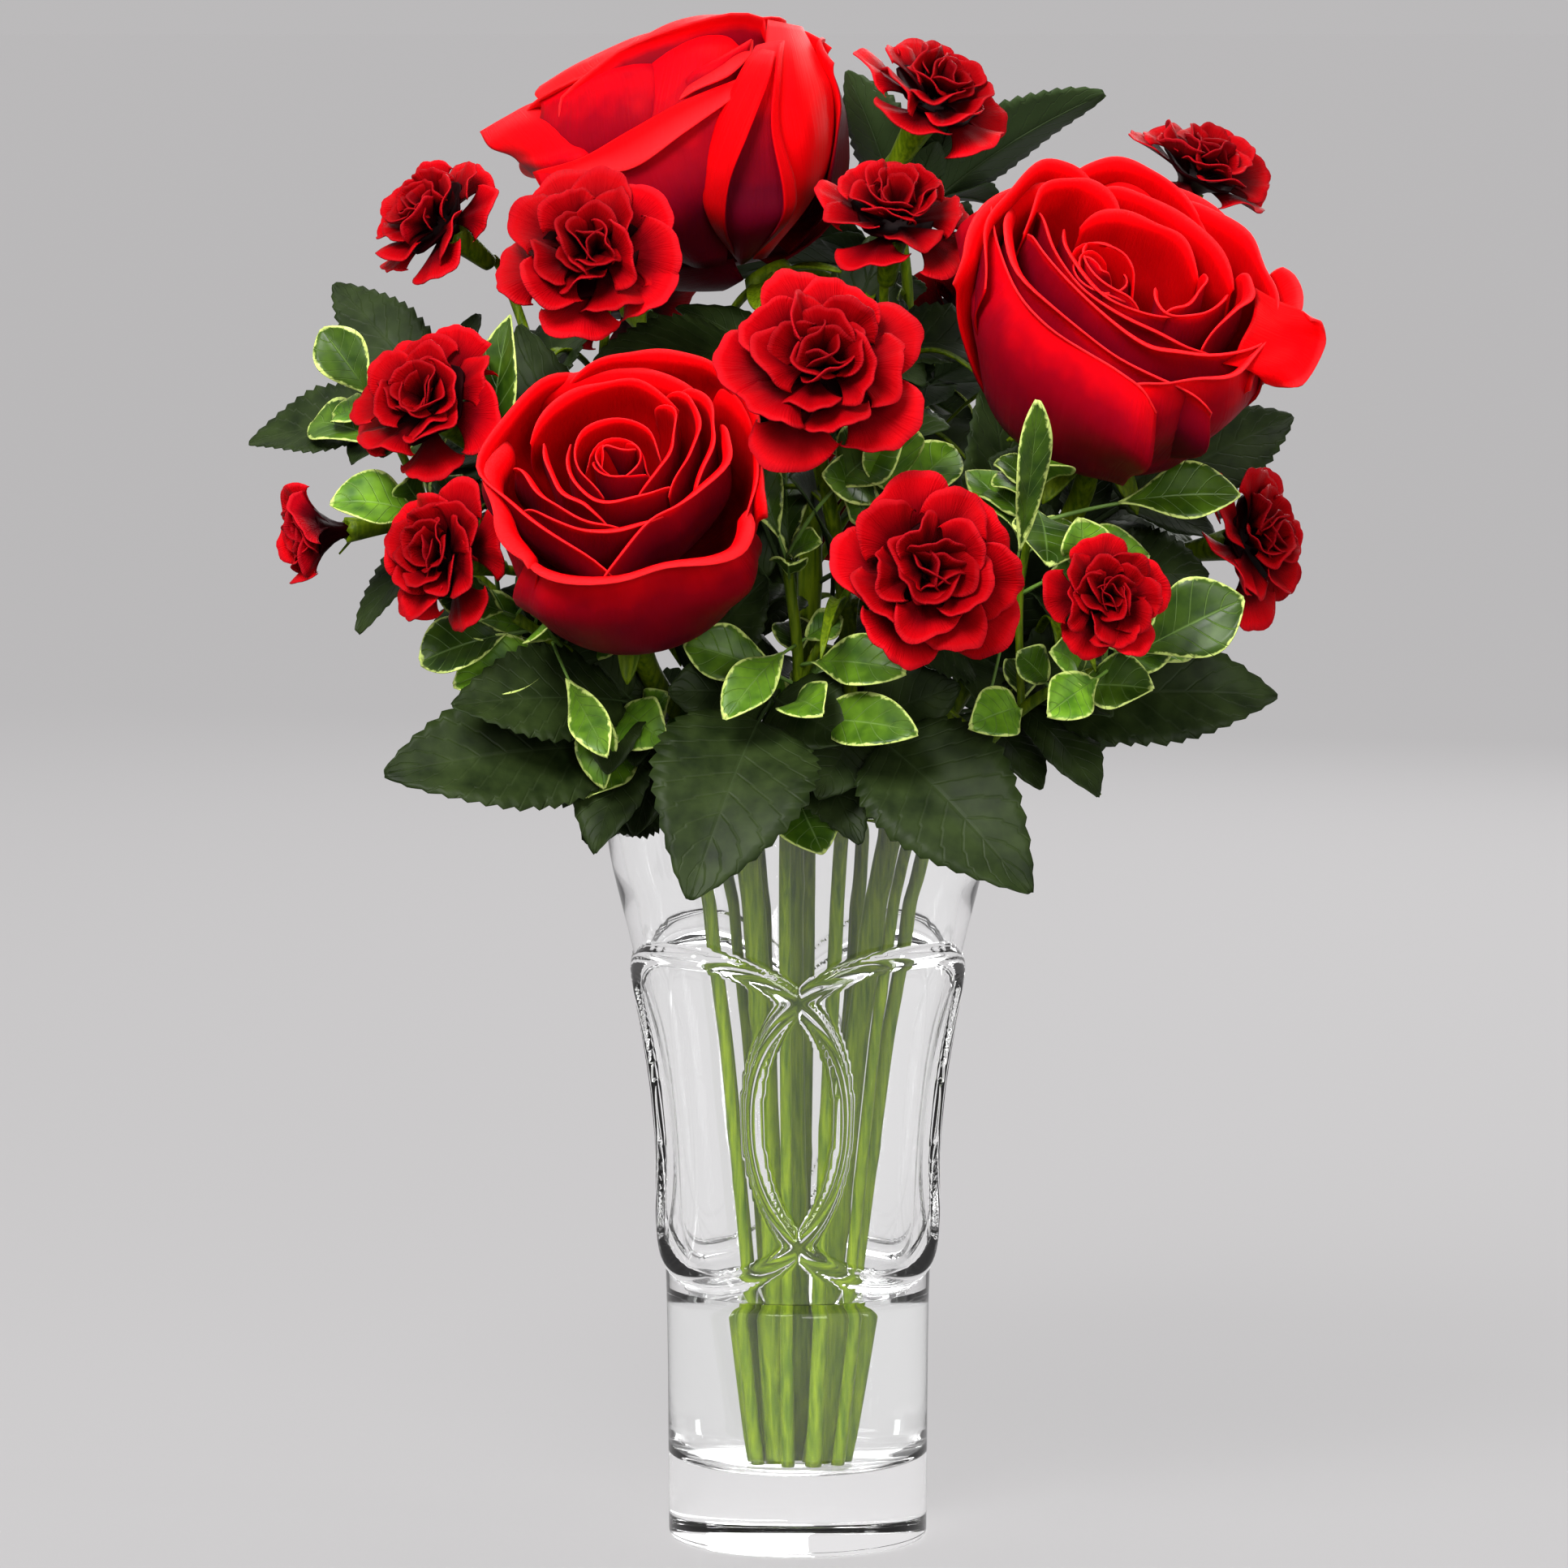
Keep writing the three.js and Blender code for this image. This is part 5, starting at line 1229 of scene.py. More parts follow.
# %% Rose heads
def rose_head(rose, nets, seed):
    """Every petal of one rose: round it, by its rims and in its rings, in the rose's own frame,
    then moved to its seat. A bloom may be lifted, more on one side than on the other, in
    proportion to a point's height. Drawn petals are in their place already."""
    draw = np.random.default_rng(seed)
    parts = [outer_petal(rose, k, place, draw) for k, place in enumerate(rose["outer"])]
    for arc, sweep, belly, rim in rose["rims"]:
        parts.append(rim_petal(rim, (arc, sweep), belly, rose["body"], RIM_GRID, draw))
    for ring in ROSE_LAYERS:
        if not rose["rims"] or HEART[0] < ring["rim"][0] < HEART[1]:
            parts += [ring_petal(rose, ring, k, draw) for k in range(ring["petals"])]
    raised, tipped = rose["lift"]
    for points, *_ in parts:
        points[:, 2] += (raised + tipped * points[:, 0]) * points[:, 2] / WIDEST_RIM
    frame_of, scale = turned_to(way_of(rose), rose["roll"]), rose["span"] / ROSE_SPAN
    placed = [moved(part, frame_of, np.array(rose["seat"]), scale) for part in parts]
    return placed + [drawn_petal(start, net, DRAWN_GRID) for start, net in nets]


ROSE_SEED = 11
for k, (name, rose) in enumerate(ROSES.items()):
    petals = rose_head(rose, DRAWN_PETALS[name], ROSE_SEED + k)
    make_piece(name + "_petals", petals, rose_red, "rose_petal", name + "_bloom")

# %% [markdown]
# ## Carnations
# A carnation's petals are narrow claws that widen into a fan with a fringed, ruffled edge. They
# stand in rings, flat outside and almost upright in the middle. The fan is drawn in its own
# plane in polar coordinates, and the ruffle lifts it out of that plane more and more towards
# the edge.

# %% The rings of a carnation
CARNATION_LAYERS = [
    {"petals": 5, "turn": 36, "tilt": 82, "length": 22.5, "root": (2.6, 4.0), "half": 41,
     "ruffle": 1.7, "cup": -0.8, "twist": 12},
    {"petals": 5, "turn": 2, "tilt": 64, "length": 20.5, "root": (2.2, 5.0), "half": 38,
     "ruffle": 1.9, "cup": 0.8, "twist": 20},
    {"petals": 5, "turn": 45, "tilt": 46, "length": 17.5, "root": (1.8, 6.0), "half": 38,
     "ruffle": 1.9, "cup": 1.8, "twist": 28},
    {"petals": 5, "turn": 8, "tilt": 28, "length": 15.0, "root": (1.3, 6.5), "half": 40,
     "ruffle": 1.7, "cup": 2.4, "twist": 36},
    {"petals": 4, "turn": 60, "tilt": 12, "length": 12.5, "root": (0.8, 7.0), "half": 44,
     "ruffle": 1.5, "cup": 2.6, "twist": 40},
]
print("petals of a carnation:", sum(ring["petals"] for ring in CARNATION_LAYERS))

# %% One carnation petal
FAN_ROWS, FAN_COLUMNS = 10, 21
SCALLOPS = 4
WIDEST_TILT = 82


def carnation_petal(ring, middle, opened, draw):
    """In the petal's plane a point is at distance s from the root, at the angle half times u.
    The edge is scalloped by the size of a sine of u. Out of the plane it is lifted by a skew, so
    that each petal lies over the next, by three waves of u, by a cup of u squared, and by a bend
    along its length. Last, the petal is twisted about its own length."""
    v = np.linspace(0.05, 1, FAN_ROWS)[:, None] ** 0.9
    u = np.linspace(-1, 1, FAN_COLUMNS)[None]
    p = draw.uniform(*ANY_PHASE, 4)
    scallop = np.abs(np.sin(u * SCALLOPS * np.pi / 2 + p[0] + 1.1 * np.sin(2 * u + p[1])))
    edge = 0.95 - 0.26 * np.abs(u) ** 2.6 + 0.035 * scallop + 0.06 * np.sin(3.1 * u + p[1])
    length = ring["length"] * draw.uniform(0.86, 1.0)
    s = length * v * (1 - v ** 4 * (1 - edge))
    angle = np.radians(ring["half"]) * u * np.minimum(1, 0.35 + 0.65 * v)
    waves = (np.sin(2.6 * u + p[2]) + 0.4 * np.sin(6.0 * u + p[3])
             + 0.1 * np.sin(12.0 * u + p[0]))
    lift = 1.4 * u * v + ring["ruffle"] * v ** 1.6 * waves + ring["cup"] * u ** 2 * v
    bend = draw.uniform(-1.0, 3.0) * v ** 2
    along, across, off = s * np.cos(angle), s * np.sin(angle), lift - bend
    twist = np.radians(ring["twist"]) * draw.uniform(-1, 1) * v
    c, s = np.cos(twist), np.sin(twist)
    across, off = across * c - off * s, across * s + off * c
    tilt = np.radians((ring["tilt"] + draw.uniform(-11, 9)) * opened)
    out = ring["root"][0] + along * np.sin(tilt) - off * np.cos(tilt)
    up = ring["root"][1] + along * np.cos(tilt) + off * np.sin(tilt)
    x = out * np.cos(middle) - across * np.sin(middle)
    y = out * np.sin(middle) + across * np.cos(middle)
    # Inner rings, which stand upright in the heart, get a lower tone and so a darker red: painted shade
    # of the heart, over a tone that differs at random.
    tone = draw.uniform(0.55, 1) * (0.1 + 0.9 * ring["tilt"] / WIDEST_TILT)
    points = np.stack([x, y, up], axis=-1)
    return thin_sheet(points, 0.4, along=v + 0 * u, across=u + 0 * v, tone=tone)


print("points of a carnation petal:", FAN_ROWS * FAN_COLUMNS)

# %% Carnation heads
MIDDLE_ABOVE_SEAT = 12.0
BOWL_SIDES, BOWL_LOBES = 30, 5


def carnation_bowl(opened):
    """The petals' narrow feet lie so close that they make a bowl: rings from the calyx out to
    half the head's width, waved by five lobes, with a second skin just inside."""
    turn = full_turn(BOWL_SIDES)
    outline = np.array([(2.8, -3.0), (3.6, 0.5), (4.4, 2.4), (6.0, 4.2), (9.5, 6.6), (12.0, 8.2),
                        (11.6, 8.8), (8.0, 7.0), (4.5, 5.4), (1.0, 4.8)])
    radius = outline[:, :1] * (1 + 0.08 * np.sin(BOWL_LOBES * turn)) * (0.5 + 0.5 * opened)
    skin = turned_skin(radius, outline[:, 1:] * (1.6 - 0.6 * opened), turn)
    # A tone of 0 gives the bowl the darkest red: painted shade deep in the head.
    return close_rings(skin, {"along": np.linspace(0.05, 0.4, len(outline)), "tone": 0.0})


def seat_of(place):
    """Where a head sits, the way it faces, and its size against the one drawn here."""
    way, scale = way_of(place), place["span"] / CARNATION_SPAN
    return np.array(place["middle"]) - way * MIDDLE_ABOVE_SEAT * scale, way, scale


def carnation_head(place, draw):
    """All petals of one head, moved to its seat."""
    seat, way, scale = seat_of(place)
    parts = [carnation_bowl(place["opened"])]
    for ring in CARNATION_LAYERS:
        for k in range(ring["petals"]):
            middle = np.radians(ring["turn"] + 360 * k / ring["petals"] + draw.uniform(-9, 9))
            parts.append(carnation_petal(ring, middle, place["opened"], draw))
    return [moved(part, turned_to(way, 0), seat, scale) for part in parts]


for spray in SPRAYS.values():
    for place in spray["blooms"]:
        petals = carnation_head(place, np.random.default_rng(int(place["name"][-2:])))
        make_piece(place["name"] + "_petals", petals, carnation_red, "carnation_petal", place["name"])

# %% [markdown]
# ## Stems, calyxes and sepals
# Stems are tubes along the smooth lines, a little thicker at each joint, as cut stems are. Under
# a rose sits a small green cup with five pointed sepals bent back, and under a carnation a
# tubular calyx with five teeth.


# %% Stems
FLOOR_GAP, LEAN = 0.3, 0.25
JOINT_SWELL, JOINT_LENGTH = 0.13, 0.012


def foot_of(plant, radius):
    """The cut end: a gap over the vase's floor, and a share of the radius, because the stem
    leans."""
    return (*plant["foot"], FLOOR_HEIGHT + FLOOR_GAP + radius * LEAN)


def main_line(plant, radius, end):
    """Points of a stem from its cut end through the vase's mouth."""
    return [foot_of(plant, radius), (*plant["mouth"], MOUTH_LEVEL), *plant["through"], *end]


def stem_tube(points, radius, sides, rings, joints):
    """A tube whose radius swells by an eighth at each joint, a share of its length."""
    part = np.linspace(0, 1, rings)
    swell = sum(np.exp(-((part - joint) / JOINT_LENGTH) ** 2) for joint in joints)
    return closed_tube(at_length(points, part), radius * (1 + JOINT_SWELL * swell), sides)


print("a rose's stem is cut at a height of", foot_of(ROSES["rose_top"], ROSE_STEM)[2])

# %% [markdown]
# The cup under a rose is turned, and its sepals are thin sheets. Each sepal is a third of a
# step past the even place of an outer petal, as on the solid.

# %% Cup and sepals of a rose
SEPAL_ROOT, SEPAL_LEVEL = 5.5, -4.5
SEPAL_LENGTH, SEPAL_WIDTH, SEPAL_DROP = 21.8, 6.5, 8.6
CUP_SIDES = 24


def sepal(azimuth):
    """A narrow pointed blade bent back from under a rose. At share t of its length its half
    width goes by a power 0.7 of one less t, times one and 1.2 times t, and it has come down by
    the drop times a power 1.5 of t."""
    t = np.linspace(0, 1, 13)[:, None]
    u = np.linspace(-1, 1, 5)[None]
    half = SEPAL_WIDTH / 2 * (1 - t) ** 0.7 * (1 + 1.2 * t) + 0.15
    out = SEPAL_ROOT + (SEPAL_LENGTH - SEPAL_ROOT) * t
    side = half * u
    up = SEPAL_LEVEL - SEPAL_DROP * t ** 1.5 + 0.35 * half * u ** 2
    x = out * np.cos(azimuth) - side * np.sin(azimuth)
    y = out * np.sin(azimuth) + side * np.cos(azimuth)
    points = np.stack([x, y, up + 0 * u], axis=-1)
    return thin_sheet(points, 0.6, along=t + 0 * u, across=u + 0 * t)


def rose_calyx():
    """A small turned cup with five sepals round it."""
    outline = np.array([(3.3, -10), (3.9, -8.6), (5.6, -7), (6.8, -4.8), (6.9, -2.6),
                        (6.2, -0.6), (3, -0.35)])
    skin = turned_skin(outline[:, :1], outline[:, 1:], full_turn(CUP_SIDES))
    sepals = [sepal((3 * k + 1) * 2 * np.pi / 15) for k in range(5)]
    return [close_rings(skin, {"along": np.linspace(0, 1, len(outline))}), *sepals]


print("parts of a rose's calyx:", len(rose_calyx()))

# %% Calyx of a carnation
CALYX_SIDES, CALYX_TEETH, TOOTH_DEPTH = 30, 5, 1.6


def carnation_calyx():
    """A tube that widens upwards, with five teeth on its edge."""
    outline = np.array([(1.4, -17.2), (2.4, -16.4), (2.7, -15), (3.3, -9), (4.0, -3.5),
                        (4.5, 1.2), (3.7, 1.3)])
    turn = full_turn(CALYX_SIDES)
    height = np.repeat(outline[:, 1:], CALYX_SIDES, axis=1)
    saw = np.abs(((turn * CALYX_TEETH / (2 * np.pi)) % 1) - 0.5)
    height[-2:] += TOOTH_DEPTH * saw * 2 - TOOTH_DEPTH
    skin = turned_skin(outline[:, :1], height, turn)
    return close_rings(skin, {"along": np.linspace(0, 1, len(outline))})


print("length of a carnation's calyx:", np.ptp(carnation_calyx()[0][:, 2]).round(1), "mm")

# %% [markdown]
# A carnation's own leaves are narrow troughs, in pairs at the joints of its stems. The solids
# leave them out, because they are as thin as grass.

# %% Narrow leaves
NARROW_WIDTH = 4.6
QUARTER_TURN, HALF_TURN = 1.57, 3.14


def narrow_leaf(root, way, length, width):
    """A carnation's leaf: a narrow trough that leaves the stem upwards and curls outwards. At
    share t of its length it is out by a quarter of t and 0.65 of t squared, and up by three
    quarters of t less 0.85 of t cubed. Its half width is a power 0.4 of one less t."""
    t = np.linspace(0, 1, 16)[:, None]
    u = np.linspace(-1, 1, 5)[None]
    side = np.cross(way, (0, 0, 1.0))
    out = length * (0.25 * t + 0.65 * t ** 2)
    up = length * (0.75 * t - 0.85 * t ** 3)
    half = width / 2 * (1 - t) ** 0.4 + 0.15
    points = (root + way * out[..., None] + side * (half * u)[..., None]
              + np.array([0, 0, 1.0]) * (up + 0.5 * half * u ** 2)[..., None])
    return thin_sheet(points, 0.5, along=t + 0 * u, across=u + 0 * t)


def narrow_pairs(line, joints, draw):
    """Two narrow leaves at each joint of a stem, each pair square to the one below."""
    parts, turn = [], draw.uniform(0, HALF_TURN)
    for joint in joints:
        root, turn = at_length(line, [joint])[0], turn + QUARTER_TURN
        for azimuth in (turn, turn + np.pi):
            way = np.array([np.cos(azimuth), np.sin(azimuth), 0.0])
            parts.append(narrow_leaf(root, way, draw.uniform(26, 44), NARROW_WIDTH))
    return parts


upright = [(0, 0, 0), (0, 0, 1)]
print("leaves at two joints:", len(narrow_pairs(upright, [0.4, 0.6], np.random.default_rng(1))))

# %% Stalks of the roses
END_BELOW_SEAT = 4
ROSE_JOINTS = [0.22, 0.48, 0.74]
LINES = {}
for name, rose in ROSES.items():
    way, seat = way_of(rose), np.array(rose["seat"], float)
    line = main_line(rose, ROSE_STEM, [seat - END_BELOW_SEAT * way])
    LINES[name + "_stem"] = [line]
    parts = [stem_tube(line, ROSE_STEM, 20, 90, ROSE_JOINTS)]
    parts += [moved(part, turned_to(way, rose["roll"]), seat) for part in rose_calyx()]
    make_piece(name + "_stalk", parts, stem_green, "stem", name + "_stem")

# %% [markdown]
# The first carnation of a spray sits on the main stem, and each other one on a branch of it.
# Every stem comes straight up to its calyx, so its last two points are on the bloom's axis: one
# in the calyx and one below it.

# %% Stalks of the sprays
END_IN_CALYX, CALYX_END, STRAIGHT_END = 11.2, 16, 6
LEAF_JOINTS, TWIG_JOINTS = [0.67, 0.76, 0.86], [0.45]
SPRAY_SEED = 70
for name, spray in SPRAYS.items():
    parts, line, draw = [], None, np.random.default_rng(SPRAY_SEED + len(name))
    for place in spray["blooms"]:
        seat, way, scale = seat_of(place)
        parts.append(moved(carnation_calyx(), turned_to(way, 0), seat, scale))
        inside = seat - way * END_IN_CALYX * scale
        below = seat - way * (CALYX_END * scale + STRAIGHT_END)
        if line is None:
            line = main_line(spray, SPRAY_STEM, [below, inside])
            parts.append(stem_tube(line, SPRAY_STEM, 14, 90, [0.3, *LEAF_JOINTS]))
            parts += narrow_pairs(line, LEAF_JOINTS, draw)
        else:
            root = seat_on(line, place["on"], STEM_STEPS)[1]
            twig = [root, *place["via"], below, inside]
            parts.append(stem_tube(twig, SPRAY_BRANCH, 12, 40, TWIG_JOINTS))
            parts += narrow_pairs(twig, TWIG_JOINTS, draw)
    make_piece(name + "_stalks", parts, stem_green, "stem", name + "_stem")

# %% [markdown]
# ## Leaves
# The solids bend each leaf clear of its neighbours, so each finer leaf first finds which bend
# was taken: it tries the same list of turns and keeps the first whose tip is a corner of the
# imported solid. The blade is then drawn from stalk to tip: its half width is a power of a sine,
# so that it is round or pointed as the kind is, its edges are lifted along the midrib's fold,
# and the whole is arched.

# %% Which way each leaf was bent
BENDS = [(0.0, 0.0, 1.0)] + [
    (sideways * turn, up * turn, share)
    for share in (1.0, 0.8) for turn in (12, 24, 38, 54)
    for sideways, up in ((1, 0), (-1, 0), (0, 1), (0, -1), (0.7, 0.7), (-0.7, 0.7))
]
TIP_MATCH = 0.6


def about(axis, degrees, vector):
    """A vector turned about an axis: its part along the axis stays, and the rest turns."""
    c, s = np.cos(np.radians(degrees)), np.sin(np.radians(degrees))
    return vector * c + np.cross(axis, vector) * s + axis * (axis @ vector) * (1 - c)


def bent_tip(root, tip, bend):
    """The tip after a turn sideways, a turn up and a shortening."""
    sideways, up, share = bend
    span = np.asarray(tip, float) - root
    across = unit(np.cross(span, (0, 0, 1.0)))
    span = about(np.array([0, 0, 1.0]), sideways, about(across, up, span))
    return root + span * share


def packed_corners(node):
    """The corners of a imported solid, in millimetres."""
    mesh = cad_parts[node].data
    flat = np.empty(len(mesh.vertices) * 3, np.float32)
    mesh.vertices.foreach_get("co", flat)
    return flat.reshape(-1, 3).astype(float) / MM


def taken_bend(place, root, corners):
    """The first bend whose tip lies at a corner of the solid, or none."""
    for bend in BENDS:
        tip = bent_tip(root, place["tip"], bend)
        if np.linalg.norm(corners - tip, axis=1).min() < TIP_MATCH:
            return tip, bend[2]
    return None


print("bends to try:", len(BENDS))

# %% [markdown]
# There are two kinds of leaf, and each has a small form too. A dark leaf is widest below its
# middle and has teeth. A cream-edged one is widest above its middle, and is more folded and
# waved.

# %% The kinds of leaf and the way a leaf lies
DARK = {"widest": 0.8, "fold": 0.25, "arch": 0.1, "sag": 0.6, "wave": 0.7,
        "teeth": 15, "tooth": 1.9}
EDGED = {"widest": 1.5, "fold": 0.36, "arch": 0.08, "sag": 1.6, "wave": 0.9,
         "teeth": 0, "tooth": 0.0}
SMALL_DARK = {**DARK, "teeth": 8, "tooth": 1.2}
SMALL_EDGED = {**EDGED, "widest": 1.2}
BUNCH_MIDDLE = np.array([0.0, 10.0, 230.0])
BACK_FROM = 35


def leaf_face(root, tip):
    """The way a leaf's upper side looks: away from the bunch's middle, up, and to the front or
    the back, whichever is nearer."""
    out = unit((root + tip) / 2 - BUNCH_MIDDLE)
    return out + (0, 0.8 if tip[1] > BACK_FROM else -0.8, 0.7)


def leaf_frame(root, tip):
    """The length of a leaf, its way along, its upper side's normal and its way across."""
    length = np.linalg.norm(tip - root)
    along = (tip - root) / length
    face = leaf_face(root, tip)
    normal = unit(face - along * (face @ along))
    return length, along, normal, np.cross(normal, along)


print("a leaf to the viewer's side looks along", leaf_face(BUNCH_MIDDLE, np.array([0, -90.0, 230])))


# %% One leaf
def leaf_blade(kind, root, tip, width, stalk, arch, tone, size):
    """At share q along the blade and u across, a point is on the arched line from root to tip,
    moved sideways by u times the half width, and lifted by the fold and a gentle wave. The
    stalk and the midrib are one thin tube along the same line, just under the blade."""
    rows, columns = size
    length, along, normal, side = leaf_frame(root, tip)
    start = stalk / length
    arched = (arch or kind["arch"] * (0.7 + kind["sag"] * tone)) * length * 4
    q = np.linspace(0.004, 0.996, rows)[:, None]
    u = np.linspace(-1, 1, columns)[None]
    half = width / 2 * np.sin(np.pi * q ** kind["widest"]) ** 0.8 + 0.35
    if kind["teeth"]:
        saw = (q * kind["teeth"]) % 1
        tooth = kind["tooth"] * (saw - 0.35) * np.sin(np.pi * q) ** 0.5
        half = half + tooth * np.minimum(1, width / 24)
    off = half * u
    ripple = kind["wave"] * np.sin(9 * q + 7 * tone + 1.5 * np.sign(u)) * u ** 2
    lift = kind["fold"] * np.abs(off) * (1 - 0.15 * np.abs(u)) + ripple
    t = start + (1 - start) * q
    rise = arched * t * (1 - t) + lift
    points = (root + length * along * t[..., None] + side * off[..., None]
              + normal * rise[..., None])
    near_edge = np.minimum(half * (1 - np.abs(u)), (1 - q) * length * (1 - start) * 0.8)
    blade = thin_sheet(points, 0.45 - 0.15 * np.abs(u) + 0 * q, along=q + 0 * u, across=u + 0 * q,
                       tone=tone, margin=near_edge)
    s = np.linspace(0, start + (1 - start) * 0.9, rows // 3 + 4)
    ridge = arched * s * (1 - s)
    rib = root + length * along * s[:, None] + normal * (ridge - 0.12)[:, None]
    thick = np.interp(s, [0, start, 1], [0.85, 0.6, 0.18]) * min(1, 0.4 + width / 40)
    return [blade, closed_tube(rib, thick, 5, across=0.0, tone=tone, margin=2.0, under=0.5)]


sample = leaf_blade(DARK, np.zeros(3), np.array([0, -80.0, 30]), 30, 20, None, 0.5, (61, 9))
print("corners of a dark leaf and of its stalk:", len(sample[0][0]), len(sample[1][0]))

# %% [markdown]
# A rose's leaf is a set of leaflets: the large one at the tip, and pairs of smaller ones on the
# same stalk. The solids carry the large one. The pairs are added here, because they are what
# makes the middle of the bunch dense and dark. The sprigs have a small leaf opposite each large
# one for the same reason.


# %% Side leaflets and opposite leaves
LEAFLET_GRID, OPPOSITE_GRID = (25, 7), (13, 7)
LEAFLET_PAIRS = ((0.78, 0.6), (0.36, 0.5))


def side_leaflets(root, tip, width, stalk, arch, tone):
    """Two pairs of small leaves on the stalk, each pair at a share of it and of a size against
    the large leaf, turned a little less than square to the stalk."""
    length, along, normal, side = leaf_frame(root, tip)
    parts = []
    for share, size in LEAFLET_PAIRS:
        t = stalk * share / length
        base = root + along * length * t + normal * arch * length * 4 * t * (1 - t)
        reach = size * (length - stalk)
        for way in (-1, 1):
            end = base + reach * (along * 0.55 + side * way * 0.8 + normal * 0.1)
            parts += leaf_blade(SMALL_DARK, base, end, width * size * 0.95, 2.0, 0.08,
                                (tone + 0.37 * (way + share)) % 1, LEAFLET_GRID)
    return parts


def opposite_leaf(line, root, tip, width, draw):
    """A small leaf on the other side of the stem, turned at random about it."""
    span = tip - root
    stem = unit(line[-1] - np.asarray(line[0], float))
    flat = span - stem * (span @ stem)
    turned = about(stem, 180 + draw.uniform(-60, 60), flat)
    way = unit(turned) * 0.85 + stem * 0.5
    end = root + way * draw.uniform(14, 19)
    return leaf_blade(SMALL_EDGED, root, end, width * 0.72, 3.0, 0.08, draw.uniform(0, 1),
                      OPPOSITE_GRID)


print("leaflets on a dark leaf's stalk:", 2 * len(LEAFLET_PAIRS))

# %% [markdown]
# Between the large leaves a real bunch is full of leaves that hardly show. Without them light
# would come through. These stand on the same stems as the solids' leaves.

# %% Leaves inside the bunch
INNER_LEAVES = {
    "rose_top_stem": [
        leaf(0.56, (-58, 22, 292), 34, 16, 0.1), leaf(0.56, (60, 24, 294), 34, 16, 0.1),
        leaf(0.5, (-48, 30, 248), 34, 14, 0.12), leaf(0.48, (52, 30, 244), 34, 14, 0.12),
        leaf(0.62, (-30, 26, 318), 30, 12, 0.1), leaf(0.62, (38, 22, 326), 30, 12, 0.1),
        leaf(0.44, (-26, -36, 236), 30, 16, 0.1), leaf(0.44, (34, -38, 242), 30, 16, 0.1),
        leaf(0.6, (-32, -18, 302), 28, 12, 0.1), leaf(0.6, (40, -20, 300), 28, 12, 0.1),
        leaf(0.42, (-2, -72, 290), 24, 62, 0.1), leaf(0.46, (-40, 0, 330), 26, 40, 0.1),
        leaf(0.6, (24, 10, 352), 24, 18, 0.08), leaf(0.52, (56, -8, 270), 30, 20, 0.1),
    ],
    "rose_right_stem": [
        leaf(0.6, (28, -6, 286), 28, 14, 0.1), leaf(0.62, (98, 12, 252), 30, 14, 0.1),
        leaf(0.5, (82, -48, 226), 26, 14, 0.1), leaf(0.7, (50, -26, 292), 26, 10, 0.1),
        leaf(0.56, (50, -10, 312), 30, 12, 0.1), leaf(0.5, (66, -20, 280), 26, 12, 0.1),
    ],
    "rose_left_stem": [
        leaf(0.6, (-8, -38, 262), 28, 12, 0.1), leaf(0.7, (-74, -30, 262), 28, 12, 0.1),
        leaf(0.55, (-14, -50, 216), 26, 14, 0.1), leaf(0.45, (-58, -36, 198), 28, 16, 0.1),
        leaf(0.75, (-74, -10, 327), 28, 12, 0.1),
    ],
    "sprig_left": [leaf(0.85, (-49, -80, 219), 10, 20, 0.06)],
    "sprig_front": [leaf(1, (27, -70, 302), 19, 25, 0.14)],
    "sprig_right": [
        leaf(0.5, (61, -98, 312), 9, 74, 0.05), leaf(1, (64, -82, 230), 13, 15, 0.08),
        leaf(0.82, (73, -72, 280), 15, 35, 0.1),
    ],
}
print("leaves inside the bunch:", sum(map(len, INNER_LEAVES.values())))

# %% [markdown]
# All leaves of a stem go into one mesh. A leaf whose solid can't be found is left out and
# counted, and the count should be 0 for every stem.

# %% The leaves of a stem
LEAFLETS_FROM = 11
ROWS_OF_A_TOOTH, PLAIN_ROWS, COLUMNS = 4, 21, 9
INNER_GRID = (46, 7)


def leaves_of(node, plant, lines, kind, draw):
    """Every leaf of one stem, on the bend that its solid took, with its leaflets."""
    corners, parts, missed = packed_corners(node), [], 0
    for place in plant["leaves"]:
        on_twig = place["twig"] is not None
        line = lines[place["twig"] + 1 if on_twig else 0]
        chord_root, root = seat_on(line, place["on"], TWIG_STEPS if on_twig else STEM_STEPS)
        found = taken_bend(place, chord_root, corners)
        if found is None:
            missed += 1
            continue
        tip, share = found
        width, stalk, tone = place["width"] * share, place["stalk"] * share, draw.uniform(0, 1)
        rows = ROWS_OF_A_TOOTH * kind["teeth"] + 1 if kind["teeth"] else PLAIN_ROWS
        parts += leaf_blade(kind, root, tip, width, stalk, place["arch"], tone, (rows, COLUMNS))
        if kind["teeth"] and stalk > LEAFLETS_FROM:
            parts += side_leaflets(root, tip, width, stalk, place["arch"], tone)
        elif not kind["teeth"]:
            parts += opposite_leaf(line, root, tip, width, draw)
    for place in INNER_LEAVES.get(node, []):
        root, tip = seat_on(lines[0], place["on"], STEM_STEPS)[1], np.array(place["tip"], float)
        parts += leaf_blade(kind, root, tip, place["width"], place["stalk"], place["arch"],
                            draw.uniform(0, 1), INNER_GRID)
    print(node, "leaves not found:", missed)
    return parts


print("grid of a dark leaf:", (ROWS_OF_A_TOOTH * DARK["teeth"] + 1, COLUMNS))

# %% Leaves of the roses
for name, rose in ROSES.items():
    draw = np.random.default_rng(len(name))
    parts = leaves_of(name + "_stem", rose, LINES[name + "_stem"], DARK, draw)
    make_piece(name + "_leaves", parts, dark_leaf, "dark_leaf", name + "_stem")

# %% [markdown]
# A leafy stem has its stalks in one piece and its leaves in another, because the two have their
# own finishes. A twig starts on the smooth stem, but its leaves are looked for from the place
# where the solid's twig starts, on a straight chord.

